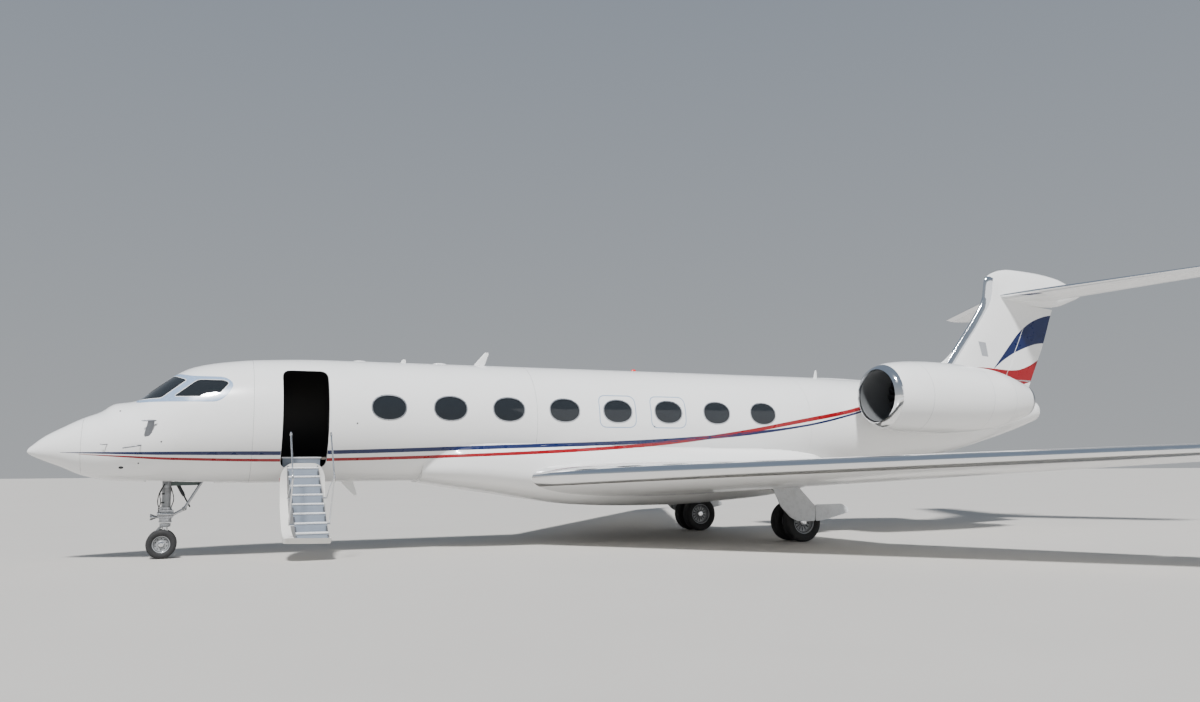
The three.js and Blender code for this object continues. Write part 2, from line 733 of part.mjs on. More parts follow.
const brakePins = [[AIRBRAKE.from, 1], [AIRBRAKE.to, -1]].map(([y, way]) => {
  const pinAt = (along, down) => {
    const [x, z] = upperSurface(y + way * along, hingeShare(AIRBRAKE, y + way * (along > 1 ? along : 0)));
    return [x + RUN_GAP, y + way * along, z - down];
  };
  return rod(pinAt(60, 8), pinAt(PIN_SEAT, 8), 6, 6, 1);
});
const airbrake = join(platePocket(RUN_GAP, AIRBRAKE.thick, -1), ...brakePins);

// Main leg bay in the underside and a jacking pad ahead of it
const legBay = box(LEG_BAY[0], LEG_BAY[1], LEG_BAY[2], LEG_BAY[3], 0, LEG_BAY_ROOF);
const jackPad = rod([JACK_PAD[0], JACK_PAD[1], JACK_PAD[2]], [JACK_PAD[0], JACK_PAD[1], 1500], 70, 20);
wing = wing.subtract(legBay).add(jackPad);
add('starboard_wing', wing.subtract(fairingKeepOut).subtract(bodyKeepOut), PAINT);
add('port_wing', mirrored(wing).subtract(fairingKeepOut).subtract(bodyKeepOut), PAINT);
for (const [name, body] of Object.entries({ ...wingPieces, airbrake })) {
  add(`starboard_${name}`, body, PAINT);
  add(`port_${name}`, mirrored(body), PAINT);
}

// Tail

function finRing([z, x, chord, ratio]) {
  return foilRing(chord, ratio, (c, side) => new THREE.Vector3(x + c * chord, side, z));
}
function finHinge(spec, z) {
  const share = hingeShare(spec, z);
  const [, x, chord, ratio] = rowAt(FIN, z);
  return { x: x + share * chord, z, radius: noseRadius(chord, share, ratio) };
}
const dorsal = prism(DORSAL, 'y', -70, 70);
const finWhole = loft(FIN.map(finRing)).add(dorsal).subtract(bodyKeepOut);
const [fin, rudder] = hinged(finWhole, RUDDER, finHinge, true);
add('rudder', rudder, PAINT);

const portRows = TAILPLANE.slice(1).map(([y, ...rest]) => [-y, ...rest]);
const tailRows = [...portRows.reverse(), ...TAILPLANE];
function tailplaneSolid(grow) {
  return loft(tailRows.map(([y, z, x, chord, ratio]) => {
    const at = (c, up) => new THREE.Vector3(x + c * chord, y, z + up + Math.sign(up) * grow);
    return foilRing(chord, ratio, at);
  }));
}
function tailHinge(spec, y) {
  const share = hingeShare(spec, y);
  const [, z, x, chord, ratio] = rowAt(TAILPLANE, y);
  return { x: x + share * chord, z, radius: noseRadius(chord, share, ratio) };
}
let tailplane = tailplaneSolid(0);
const [tailStarboard, elevator] = hinged(tailplane, ELEVATOR, tailHinge, false);
tailplane = tailStarboard.intersect(mirrored(tailStarboard));
add('tailplane', tailplane, PAINT);
add('starboard_elevator', elevator, PAINT);
add('port_elevator', mirrored(elevator), PAINT);

const bulletRings = BULLET.map(([x, top, bottom, half]) => {
  const ring = [];
  const middle = (top + bottom) / 2;
  for (let i = 0; i < BULLET_SIDES; i += 1) {
    const angle = 2 * Math.PI * i / BULLET_SIDES;
    ring.push(new THREE.Vector3(x, half * Math.sin(angle), middle + (top - middle) * Math.cos(angle)));
  }
  return ring;
});
const tailGrown = tailplaneSolid(SEAT_GAP);
const tailClear = join(tailGrown, moved(tailGrown, -1, 0, 0), moved(tailGrown, 1, 0, 0));
add('fin', fin.subtract(tailClear), PAINT);
const finTop = FIN.at(-1)[0] + SEAT_GAP;
const belowBullet = box(-BIG, BIG, -BIG, BIG, 0, finTop);
add('tail_bullet', loft(bulletRings).subtract(tailClear).subtract(belowBullet), PAINT);

// Engines

// Turns a body drawn along the engine's straight axis by the toe, about the fan
function toed(body) {
  const geometry = geometryOf(body);
  geometry.translate(-FAN_STATION, 0, 0);
  geometry.rotateZ(-THREE.MathUtils.degToRad(ENGINE_TOE));
  geometry.translate(FAN_STATION, ENGINE_Y, ENGINE_Z);
  return solid(geometry);
}
const duct = toed(turned([...NACELLE_OUTER, ...NACELLE_INNER, NACELLE_OUTER[0]], NACELLE_SIDES));
const pylon = loft(PYLON.map(([y, z, x, chord, ratio]) => (
  foilRing(chord, ratio, (c, up) => new THREE.Vector3(x + c * chord, y, z + up))
)));
const filledProfile = [[NACELLE_OUTER[0][0], 0], ...NACELLE_OUTER, [NACELLE_OUTER.at(-1)[0], 0]];
const ductFilled = toed(turned(filledProfile, NACELLE_SIDES));
const nacelle = duct.add(pylon.subtract(ductFilled.subtract(duct)));

// Core: a plain turned block held in the duct by guide vanes
let core = turned([[CORE_START, 0], [CORE_START, 300], ...CORE], 14);
for (let i = 0; i < CORE_VANES; i += 1) {
  const angle = 2 * Math.PI * i / CORE_VANES;
  const vane = box(20500, 20760, -12, 12, 300, 900);
  const geometry = geometryOf(vane);
  geometry.rotateX(angle);
  core = core.add(solid(geometry));
}
const boreProfile = [...NACELLE_INNER].reverse().map(([x, r]) => [x, r - SEAT_GAP]);
const ductBore = turned([[18000, 0], [18000, 640], ...boreProfile, [24400, 0]], NACELLE_SIDES);
core = toed(core.intersect(ductBore));
const shaftEnd = CORE_START - FAN_STATION - PIN_SEAT;
let fan = turned([...SPINNER, [shaftEnd, 60], [shaftEnd, 0]], 16);
for (let i = 0; i < FAN_BLADES; i += 1) {
  const vane = new THREE.BoxGeometry(120, 16, FAN_RADIUS - 150);
  vane.rotateZ(THREE.MathUtils.degToRad(38));
  vane.translate(0, 0, (FAN_RADIUS + 150) / 2);
  vane.rotateX(2 * Math.PI * i / FAN_BLADES);
  fan = fan.add(solid(vane));
}
fan = fan.intersect(turned([[-400, 0], [-400, FAN_RADIUS], [200, FAN_RADIUS], [200, 0]], NACELLE_SIDES));
const fanGeometry = geometryOf(fan);
fanGeometry.rotateZ(-THREE.MathUtils.degToRad(ENGINE_TOE));
fan = solid(fanGeometry);
for (const [word, side] of [['port', -1], ['starboard', 1]]) {
  const fit = side > 0 ? (body) => body : mirrored;
  add(`${word}_nacelle`, fit(nacelle).subtract(bodyKeepOut), PAINT);
  add(`${word}_engine_core`, fit(core), DARK_METAL);
  add(`${word}_fan`, fit(fan), DARK_METAL, aircraft, [FAN_STATION, side * ENGINE_Y, ENGINE_Z]);
}

// Airstair, drawn shut in the wall and then let down about its lower outer edge

// Half width of the faceted body at a station and height below the waist
function skinY(x, z) {
  const ring = bodyRing(rowAt(FUSELAGE, x), 0).filter((p) => p.y > 0);
  const next = ring.findIndex((p) => p.z < z);
  const a = ring[next - 1];
  const b = ring[next];
  return a.y + (b.y - a.y) * (z - a.z) / (b.z - a.z);
}
const HINGE_OUT = 14;
const HINGE_Y = -skinY(DOOR_REAR, DOOR_BOTTOM) - HINGE_OUT;
const HINGE_Z = DOOR_BOTTOM - 4;
const KNUCKLE = Math.hypot(HINGE_OUT, 4) + 0.2;

// Points of the shut stair: along runs up the door from the hinge, out runs into the cabin
const shut = (along, out) => [HINGE_Y + out, HINGE_Z + along];
const stairFront = (along) => STEP_FRONT + STEP_DRIFT * along / STEP_PITCH;

const doorOutline = roundedBox(
  DOOR_FRONT + RUN_GAP,
  DOOR_REAR - RUN_GAP,
  DOOR_BOTTOM + RUN_GAP,
  DOOR_TOP - RUN_GAP,
  DOOR_CORNER - RUN_GAP,
);
const lowerCorners = roundedBox(
  DOOR_FRONT + RUN_GAP,
  DOOR_REAR - RUN_GAP,
  DOOR_BOTTOM + RUN_GAP,
  DOOR_TOP + 2 * DOOR_LOWER_CORNER,
  DOOR_LOWER_CORNER,
);
const doorBlank = prism(doorOutline, 'y', -1700, -500).intersect(prism(lowerCorners, 'y', -1700, -500));
const doorSkin = shell.intersect(doorBlank);
const knuckle = rod([DOOR_FRONT + 170, HINGE_Y, HINGE_Z], [DOOR_REAR - 170, HINGE_Y, HINGE_Z], KNUCKLE, 16);
const leaf = box(DOOR_FRONT + 170, DOOR_REAR - 170, HINGE_Y - 6, HINGE_Y + 22, HINGE_Z + 5, HINGE_Z + 60);

function stringer(x) {
  return loft([60, 1950].map((along) => {
    const start = x + stairFront(along) - STEP_FRONT;
    const rise = along < 100 ? 130 : 90;
    return [[start, -700], [start + 28, -700], [start + 28, rise], [start, rise]].map(
      ([px, out]) => new THREE.Vector3(px, ...shut(along, out)),
    );
  }));
}
const slope = THREE.MathUtils.degToRad(DOOR_OPEN_DEG);
function tread(i) {
  const along = STEP_FIRST + i * STEP_PITCH;
  const front = stairFront(along);
  const [y, z] = shut(along, STEP_RISE);
  const back = [Math.cos(slope), -Math.sin(slope)];
  const drop = [-Math.sin(slope), -Math.cos(slope)];
  const corner = (b, d) => [y + back[0] * b + drop[0] * d, z + back[1] * b + drop[1] * d];
  const deep = TREAD_DEPTH;
  const outline = [corner(0, 0), corner(deep, 0), corner(deep, TREAD_THICK), corner(0, TREAD_THICK)];
  return prism(outline, 'x', front + 2, front + STEP_WIDTH - 2);
}
let stair = join(stringer(STEP_FRONT), stringer(STEP_FRONT + STEP_WIDTH - 28));
for (let i = 0; i < STEP_COUNT; i += 1) {
  stair = stair.add(tread(i));
}
const stairRoom = bodySolid(4000, 6000, -WALL - SEAT_GAP);
stair = stair.intersect(stairRoom);
RAIL_STATIONS.forEach((x, side) => {
  const corners = RAIL_PATH.map(([along, out]) => [x, ...shut(along, out)]);
  const foot = corners.at(-1);
  const rail = join(
    rod(corners[0], corners[1], RAIL_RADIUS, 8),
    rod(corners[1], corners[2], RAIL_RADIUS, 8),
    solid(new THREE.SphereGeometry(RAIL_RADIUS * 1.15, 8, 6).translate(...corners[1])),
  );
  const inward = stairFront(RAIL_PATH[2][0]) + (side === 0 ? 14 : STEP_WIDTH - 14);
  const outEnd = x + (side === 0 ? -RAIL_RADIUS : RAIL_RADIUS);
  const pinLow = [foot[1] - 5, foot[2]];
  stair = stair.add(rail).add(rod([outEnd, ...pinLow], [inward, ...pinLow], 22, 6));
});
const letDown = (body) => turnedX(body, DOOR_OPEN_DEG, HINGE_Y, HINGE_Z);
add('airstair_door', letDown(join(doorSkin, knuckle, leaf)), PAINT);
add('airstair_steps', letDown(stair), TREAD);

// Wheels: a tyre ring and a pair of rims on one live axle

function tyre(radius, width, bead) {
  const w = width / 2;
  const bulge = bead + 0.45 * (radius - bead);
  const half = [[w * 0.66, bead], [w, bulge], [w * 0.87, radius * 0.95], [w * 0.5, radius]];
  const profile = [...half, ...half.map(([y, r]) => [-y, r]).reverse()];
  return wheelForm([...profile, profile[0]], WHEEL_SIDES);
}

function wheelPair(offset, width, bead, axle) {
  const w = width / 2;
  const side = [
    [offset + w * 0.95, 0],
    [offset + w * 0.95, axle * 1.25],
    [offset + w * 0.3, bead * 0.8],
    [offset + w * 0.66, bead - SEAT_GAP],
    [offset - w * 0.66, bead - SEAT_GAP],
    [offset - w * 0.4, axle * 1.7],
    [offset - w * 0.75, axle],
  ];
  const profile = [...side.map(([y, r]) => [-y, r]), ...[...side].reverse()];
  return wheelForm(profile, WHEEL_SIDES);
}

// Nose gear
const [noseX, noseZ] = NOSE_AXLE;
const NOSE_AXLE_RADIUS = 35;
const PIN_GAP = 0.8;
const legTop = FLOOR_TOP - FLOOR_THICK - SEAT_GAP;
const noseLeg = join(
  rod([NOSE_STRUT_X, 0, STEER_TOP], [NOSE_STRUT_X, 0, legTop], 88, 12),
  rod([NOSE_STRUT_X, 0, STEER_TOP + 20], [NOSE_STRUT_X, 0, STEER_TOP + 330], 128, 12),
  box(NOSE_STRUT_X - 150, NOSE_STRUT_X + 150, -165, 165, STEER_TOP + 110, STEER_TOP + 270),
  ...[-1, 1].flatMap((side) => [
    rod([2560, side * 50, 800], [2890, side * 90, 990], 26, 6),
    rod([2880, side * 90, 980], [3478, side * 120, legTop + 20], 26, 6),
    rod([NOSE_STRUT_X, side * 80, 1450], [NOSE_STRUT_X, side * 225, 1450], 40, 6),
  ]),
  rod([2890, -110, 990], [2890, 110, 990], 34, 6),
  rod([2250, 0, 830], [2340, 0, 830], 40, 12, 62),
  rod([2330, 0, 830], [2460, 0, 830], 22, 6),
  rod([2540, 0, 1500], [3200, 0, 1500], 34, 6),
).intersect(box(-BIG, BIG, -BIG, BIG, 0, legTop));
add('nose_gear_leg', noseLeg, GEAR_STEEL);

const fork = join(
  rod([NOSE_STRUT_X, 0, noseZ + 20], [NOSE_STRUT_X, 0, STEER_TOP - 0.5], 55, 10),
  rod([NOSE_STRUT_X, 0, STEER_TOP - 70], [NOSE_STRUT_X, 0, STEER_TOP - 0.5], 108, 12),
  rod([noseX, -72, noseZ], [noseX, 72, noseZ], 82, 12),
  ...[-1, 1].flatMap((side) => [
    rod([NOSE_STRUT_X - 60, side * 30, STEER_TOP - 40], [NOSE_STRUT_X - 205, side * 12, 500], 20, 6),
    rod([NOSE_STRUT_X - 205, side * 12, 500], [noseX - 50, side * 45, noseZ + 30], 20, 6),
  ]),
  rod([NOSE_STRUT_X - 205, -40, 500], [NOSE_STRUT_X - 205, 40, 500], 24, 6),
).subtract(rod([noseX, -200, noseZ], [noseX, 200, noseZ], NOSE_AXLE_RADIUS + PIN_GAP, WHEEL_SIDES));
add('nose_gear_fork', fork, GEAR_STEEL);

const noseWheels = new THREE.Group();
noseWheels.position.set(noseX, 0, noseZ);
aircraft.add(noseWheels);
const noseBead = 165;
const noseRims = wheelPair(NOSE_TYRE_Y, NOSE_TYRE_WIDTH, noseBead, NOSE_AXLE_RADIUS);
add('nose_wheel_rims', noseRims, GEAR_STEEL, noseWheels);
for (const [word, side] of [['port', -1], ['starboard', 1]]) {
  const body = tyre(NOSE_TYRE_RADIUS, NOSE_TYRE_WIDTH, noseBead);
  add(`${word}_nose_tyre`, body, TYRE, noseWheels, [0, side * NOSE_TYRE_Y, 0]);
}

// Main gear: drawn to starboard and mirrored
const [mainX, mainY, mainZ] = MAIN_AXLE;
const MAIN_AXLE_RADIUS = 55;
const mainBead = 272;
const legAt = (share) => [
  mainX + (LEG_TOP_X - mainX) * share,
  mainY,
  mainZ + (LEG_BAY_ROOF - mainZ) * share,
];
const wingEnvelope = wingLoft.add(moved(wingLoft, 0, 0, -SEAT_GAP));
const mainLeg = join(
  rod(legAt(0), legAt(0.62), 68, 10),
  rod(legAt(0.5), legAt(1.2), 104, 12),
  rod([mainX, mainY - 88, mainZ], [mainX, mainY + 88, mainZ], 112, 12),
  rod([mainX - 90, mainY, 840], [15890, 1720, LEG_BAY_ROOF + 60], 38, 10),
  rod([mainX - 100, mainY, 960], [16080, 1720, LEG_BAY_ROOF + 60], 30, 10),
  ...[-1, 1].flatMap((side) => [
    rod([mainX + 50, mainY + side * 30, 880], [mainX + 230, mainY + side * 15, 690], 22, 6),
    rod([mainX + 230, mainY + side * 15, 690], [mainX + 60, mainY + side * 40, 520], 22, 6),
  ]),
  rod([mainX + 230, mainY - 45, 690], [mainX + 230, mainY + 45, 690], 26, 6),
).intersect(box(-BIG, BIG, 0, BIG, 0, LEG_BAY_ROOF - SEAT_GAP))
  .subtract(rod([mainX, 0, mainZ], [mainX, 5000, mainZ], MAIN_AXLE_RADIUS + PIN_GAP, WHEEL_SIDES));
const legDoor = prism(LEG_DOOR, 'y', LEG_DOOR_Y - 14, LEG_DOOR_Y + 14).subtract(wingEnvelope).add(join(
  rod([16060, mainY + 106.5, 1040], [16020, LEG_DOOR_Y, 1040], 20, 6),
  rod([16040, mainY + 106.5, 1140], [16000, LEG_DOOR_Y, 1140], 20, 6),
));
const rims = wheelPair(MAIN_TYRE_OFFSET, MAIN_TYRE_WIDTH, mainBead, MAIN_AXLE_RADIUS);
const mainTyre = tyre(MAIN_TYRE_RADIUS, MAIN_TYRE_WIDTH, mainBead);
for (const [word, side] of [['port', -1], ['starboard', 1]]) {
  const fit = side > 0 ? (body) => body : mirrored;
  add(`${word}_main_leg`, fit(mainLeg), GEAR_STEEL);
  add(`${word}_leg_door`, fit(legDoor), PAINT);
  const wheels = new THREE.Group();
  wheels.position.set(mainX, side * mainY, mainZ);
  aircraft.add(wheels);
  add(`${word}_main_rims`, rims, GEAR_STEEL, wheels);
  add(`${word}_outer_tyre`, mainTyre, TYRE, wheels, [0, side * MAIN_TYRE_OFFSET, 0]);
  add(`${word}_inner_tyre`, mainTyre, TYRE, wheels, [0, -side * MAIN_TYRE_OFFSET, 0]);
}

export default aircraft;
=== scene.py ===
import math

import bmesh
import bpy
import numpy as np
from mathutils import Matrix, Vector
from mathutils.bvhtree import BVHTree
from mathutils.interpolate import poly_3d_calc


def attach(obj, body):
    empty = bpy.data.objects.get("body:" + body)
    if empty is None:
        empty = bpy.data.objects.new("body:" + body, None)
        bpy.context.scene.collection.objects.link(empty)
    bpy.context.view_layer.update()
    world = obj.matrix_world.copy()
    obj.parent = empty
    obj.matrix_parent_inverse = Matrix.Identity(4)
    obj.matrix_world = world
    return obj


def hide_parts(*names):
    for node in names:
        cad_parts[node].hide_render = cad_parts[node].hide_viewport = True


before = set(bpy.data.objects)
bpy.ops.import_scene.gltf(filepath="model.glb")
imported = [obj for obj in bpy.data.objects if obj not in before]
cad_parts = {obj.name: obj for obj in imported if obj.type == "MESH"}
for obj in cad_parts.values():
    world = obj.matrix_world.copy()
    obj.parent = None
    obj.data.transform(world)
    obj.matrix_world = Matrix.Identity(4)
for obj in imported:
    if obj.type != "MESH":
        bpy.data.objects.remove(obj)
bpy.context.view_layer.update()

# Stations run aft from the nose tip; the frame's origin is this far aft of it.
NOSE = 15.05

# Tables in metres


def pchip(rows):
    """A smooth monotone curve through a table whose first column is the key."""
    table = np.array(rows, float)
    key, value = table[:, 0], table[:, 1:]
    step = np.diff(key)[:, None]
    slope = np.diff(value, axis=0) / step
    tangent = np.zeros_like(value)
    tangent[0], tangent[-1] = slope[0], slope[-1]
    if len(key) > 2:
        same = slope[:-1] * slope[1:] > 0
        w1, w2 = 2 * step[1:] + step[:-1], step[1:] + 2 * step[:-1]
        safe0, safe1 = np.where(same, slope[:-1], 1), np.where(same, slope[1:], 1)
        tangent[1:-1] = np.where(same, (w1 + w2) / (w1 / safe0 + w2 / safe1), 0)

    def at(q):
        q = np.clip(np.asarray(q, float), key[0], key[-1])
        i = np.clip(np.searchsorted(key, q) - 1, 0, len(key) - 2)
        size = (key[i + 1] - key[i])[..., None]
        t = (q[..., None] - key[i][..., None]) / size
        return (value[i] * (1 + 2 * t) * (1 - t) ** 2 + tangent[i] * size * t * (1 - t) ** 2
                + value[i + 1] * t * t * (3 - 2 * t) - tangent[i + 1] * size * t * t * (1 - t))
    return at


def straight(rows):
    """Straight lines through a table whose first column is the key."""
    table = np.array(rows, float)

    def at(q):
        q = np.asarray(q, float)
        return np.stack([np.interp(q, table[:, 0], column) for column in table[:, 1:].T], axis=-1)
    return at


# Fuselage: station, crown, keel, half width, height of the greatest width
FUSELAGE = [
    [0, 2.16, 2.16, 0.0, 2.16], [0.09, 2.285, 2.08, 0.13, 2.175], [0.28, 2.45, 1.99, 0.27, 2.2],
    [0.59, 2.635, 1.865, 0.44, 2.23], [0.98, 2.84, 1.69, 0.63, 2.27], [1.26, 2.955, 1.615, 0.74, 2.305],
    [1.5, 3.115, 1.58, 0.835, 2.34], [1.9, 3.19, 1.555, 0.98, 2.4], [2.25, 3.465, 1.538, 1.08, 2.47],
    [2.56, 3.71, 1.528, 1.16, 2.55], [2.93, 3.91, 1.518, 1.225, 2.65], [3.58, 4.05, 1.505, 1.3, 2.74],
    [4.25, 4.12, 1.5, 1.335, 2.8], [5.69, 4.17, 1.5, 1.355, 2.835], [17.9, 4.175, 1.5, 1.355, 2.84],
    [19.4, 4.15, 1.54, 1.33, 2.85], [21.2, 4.1, 1.76, 1.21, 2.93], [22.95, 4.02, 2.09, 1.0, 3.06],
    [24.5, 3.92, 2.45, 0.74, 3.19], [26.0, 3.79, 2.86, 0.46, 3.33], [26.75, 3.7, 3.1, 0.3, 3.4],
]
body_rows = pchip([[math.sqrt(row[0])] + row[1:] for row in FUSELAGE])
WALL = 0.1
RADOME_END, COCKPIT_END, CABIN_BREAK, CABIN_END, TAIL_END = 0.98, 4.1, 10.15, 17.6, 26.75
SKIN_SIDES = 120
SEAM = 0.002


def body_row(x):
    return body_rows(np.sqrt(np.maximum(x, 0)))


def body_ring(x, grow=0.0, sides=SKIN_SIDES):
    crown, keel, half, waist = body_row(np.array(x, float))
    angle = 2 * math.pi * (np.arange(sides) + 0.5) / sides
    tall = np.where(np.cos(angle) > 0, crown - waist, waist - keel) + grow
    return np.stack([np.full(sides, x), (half + grow) * np.sin(angle), waist + tall * np.cos(angle)], axis=-1)


def body_half(x, z, grow=0.0):
    """Half width of the fuselage at that station and height."""
    crown, keel, half, waist = np.moveaxis(body_row(x), -1, 0)
    tall = np.where(z > waist, crown - waist, waist - keel) + grow
    return (half + grow) * np.sqrt(np.clip(1 - ((z - waist) / tall) ** 2, 0, 1))


# Belly fairing: station, top, bottom, half width
FAIRING = [
    [7.65, 2.25, 1.48, 0.9], [8.44, 2.44, 1.34, 1.33], [9.3, 2.49, 1.21, 1.44], [10.4, 2.5, 1.03, 1.48],
    [11.4, 2.47, 0.9, 1.5], [12.8, 2.43, 0.84, 1.51], [14.0, 2.4, 0.835, 1.51], [15.3, 2.37, 0.895, 1.5],
    [16.5, 2.34, 0.985, 1.47], [17.7, 2.19, 1.18, 1.4], [18.5, 1.9, 1.44, 1.05],
]
fairing_row = pchip(FAIRING)
FAIRING_ROUND = 2.7
FILLET = 0.09
HALVINGS = 34


def fairing_grid():
    """Distance of the outer surface from a centre line, over station and angle, and the fuselage's own."""
    # Closer together where the fairing starts and ends
    stations = np.concatenate([np.linspace(7.65, 9.3, 34), np.linspace(9.35, 16.5, 90),
                               np.linspace(16.55, 18.5, 36)])
    angles = np.linspace(0, math.pi, 181)
    x, a = np.meshgrid(stations, angles, indexing="ij")
    top, bottom, half = np.moveaxis(fairing_row(x), -1, 0)
    crown, keel, wide, waist = np.moveaxis(body_row(x), -1, 0)
    centre = np.minimum(2.0, top - 0.15)
    middle, tall = (top + bottom) / 2, (top - bottom) / 2

    def reach(inside):
        low, high = np.zeros_like(x), np.full_like(x, 3.0)
        for _ in range(HALVINGS):
            r = (low + high) / 2
            fits = inside(r * np.sin(a), centre + r * np.cos(a))
            low, high = np.where(fits, r, low), np.where(fits, high, r)
        return low

    def in_body(y, z):
        body_tall = np.where(z > waist, crown - waist, waist - keel)
        return (y / wide) ** 2 + ((z - waist) / body_tall) ** 2 < 1

    def in_belly(y, z):
        return (y / half) ** FAIRING_ROUND + np.abs((z - middle) / tall) ** FAIRING_ROUND < 1

    body, belly = reach(in_body), reach(in_belly)
    gap = np.clip(0.5 + 0.5 * (belly - body) / FILLET, 0, 1)
    both = body * (1 - gap) + belly * gap + FILLET * gap * (1 - gap)
    return stations, angles, centre[:, 0], body, both


FAIR_X, FAIR_A, FAIR_C, FAIR_BODY, FAIR_OUT = fairing_grid()


def outer_half(x, z):
    """Half width of fuselage and fairing together, at one station and height."""
    plain = float(body_half(np.array(x), np.array(z)))
    if not FAIR_X[0] < x < FAIR_X[-1]:
        return plain
    i = min(int(np.searchsorted(FAIR_X, x)) - 1, len(FAIR_X) - 2)
    t = (x - FAIR_X[i]) / (FAIR_X[i + 1] - FAIR_X[i])
    r = FAIR_OUT[i] * (1 - t) + FAIR_OUT[i + 1] * t
    centre = FAIR_C[i] * (1 - t) + FAIR_C[i + 1] * t
    height = centre + r * np.cos(FAIR_A)
    return float(np.interp(-z, -height, r * np.sin(FAIR_A)))


# Meshes


def grid(rings, around=True, along=False, caps=False):
    """Faces over rings that all have the same number of points."""
    rings = np.asarray(rings, float)
    n, m = rings.shape[:2]
    faces = []
    for r in range(n if along else n - 1):
        for i in range(m if around else m - 1):
            j, s = (i + 1) % m, (r + 1) % n
            faces.append((r * m + i, r * m + j, s * m + j, s * m + i))
    if caps:
        faces.append(tuple(range(m))[::-1])
        faces.append(tuple(range((n - 1) * m, n * m)))
    return rings.reshape(-1, 3), faces


def joined(*parts):
    points, faces, base = [], [], 0
    for p, f in parts:
        points.append(np.asarray(p, float))
        faces.extend(tuple(i + base for i in face) for face in f)
        base += len(p)
    return np.concatenate(points), faces


def flipped(part):
    points = np.array(part[0], float)
    points[:, 1] *= -1
    return points, [tuple(face)[::-1] for face in part[1]]


def shifted(part, x=0.0, y=0.0, z=0.0):
    return np.asarray(part[0], float) + np.array([x, y, z]), part[1]


def prism(outline, axis, low, high):
    """An outline pushed along an axis: (x, z) along y, (y, z) along x or (x, y) along z."""
    order = {"y": (0, 2, 1), "x": (1, 2, 0), "z": (0, 1, 2)}[axis]
    rings = []
    for level in (low, high):
        ring = np.zeros((len(outline), 3))
        ring[:, list(order[:2])] = np.array(outline)
        ring[:, order[2]] = level
        rings.append(ring)
    return grid(rings, caps=True)


def block(x0, x1, y0, y1, z0, z1):
    return prism([(x0, z0), (x1, z0), (x1, z1), (x0, z1)], "y", y0, y1)


def turned(profile, axis, centre, sides=64, closed=False):
    """A profile of (distance along the axis, radius) turned about it."""
    angle = 2 * math.pi * np.arange(sides) / sides
    along_at, sine_at, cosine_at = {"x": (0, 1, 2), "y": (1, 0, 2), "z": (2, 0, 1)}[axis]
    rings = []
    for along, radius in profile:
        ring = np.zeros((sides, 3))
        ring[:, along_at] = along
        ring[:, sine_at] = radius * np.sin(angle)
        ring[:, cosine_at] = radius * np.cos(angle)
        rings.append(ring + np.array(centre))
    return grid(rings, along=closed, caps=not closed)


def rod(start, end, radius, end_radius=None, sides=20, bevel=0.12):
    """A round bar with slightly rounded ends."""
    a, b = Vector(start), Vector(end)
    end_radius = radius if end_radius is None else end_radius
    length = (b - a).length
    cut = min(bevel * min(radius, end_radius), length * 0.2)
    profile = [(0, radius - cut), (cut, radius), (length - cut, end_radius), (length, end_radius - cut)]
    points, faces = turned(profile, "z", (0, 0, 0), sides)
    turn = (b - a).normalized().to_track_quat("Z", "Y").to_matrix()
    return points @ np.array(turn).T + np.array(a), faces


def tube(path, radius, sides=14, rounding=0.0):
    """A pipe along a path whose corners may be rounded."""
    line = [Vector(p) for p in path]
    if rounding:
        soft = [line[0]]
        for before, here, after in zip(line, line[1:], line[2:]):
            near = min(rounding, (before - here).length * 0.45, (after - here).length * 0.45)
            p, q = here + (before - here).normalized() * near, here + (after - here).normalized() * near
            for k in range(7):
                t = k / 6
                soft.append(p * (1 - t) ** 2 + here * 2 * t * (1 - t) + q * t * t)
        line = soft + [line[-1]]
    rings, up = [], None
    for i, here in enumerate(line):
        along = (line[min(i + 1, len(line) - 1)] - line[max(i - 1, 0)]).normalized()
        if up is None:
            up = along.orthogonal().normalized()
        up = (up - along * up.dot(along)).normalized()
        side = along.cross(up)
        rings.append([here + (up * math.cos(a) + side * math.sin(a)) * radius
                      for a in (2 * math.pi * k / sides for k in range(sides))])
    return grid(np.array(rings), caps=True)


def smooth_path(points, count):
    """A smooth curve through points, by the share of its length."""
    pts = np.array(points, float)
    run = np.concatenate([[0], np.cumsum(np.linalg.norm(np.diff(pts, axis=0), axis=1))])
    rows = np.column_stack([run, pts])
    padded_rows = np.vstack([rows[0], rows, rows[-1]])
    out = []
    for q in np.linspace(0, run[-1], count):
        i = min(int(np.searchsorted(run, q, side="right")) - 1, len(run) - 2)
        t = (q - run[i]) / (run[i + 1] - run[i])
        p0, p1, p2, p3 = padded_rows[i:i + 4, 1:]
        out.append(0.5 * (2 * p1 + (p2 - p0) * t + (2 * p0 - 5 * p1 + 4 * p2 - p3) * t ** 2
                          + (3 * p1 - p0 - 3 * p2 + p3) * t ** 3))
    return np.array(out)


def oval(x, z, width, height, count=56, power=0.92):
    angle = 2 * math.pi * np.arange(count) / count
    c, s = np.cos(angle), np.sin(angle)
    return np.column_stack([x + width / 2 * np.sign(c) * np.abs(c) ** power,
                            z + height / 2 * np.sign(s) * np.abs(s) ** power])


def rounded(outline, radius, steps=7):
    """An outline whose corners are rounded."""
    pts = np.array(outline, float)
    out = []
    for i, here in enumerate(pts):
        before, after = pts[i - 1] - here, pts[(i + 1) % len(pts)] - here
        near = min(radius, 0.48 * np.linalg.norm(before), 0.48 * np.linalg.norm(after))
        p, q = here + before / np.linalg.norm(before) * near, here + after / np.linalg.norm(after) * near
        for t in np.linspace(0, 1, steps):
            out.append(p * (1 - t) ** 2 + here * 2 * t * (1 - t) + q * t * t)
    return np.array(out)


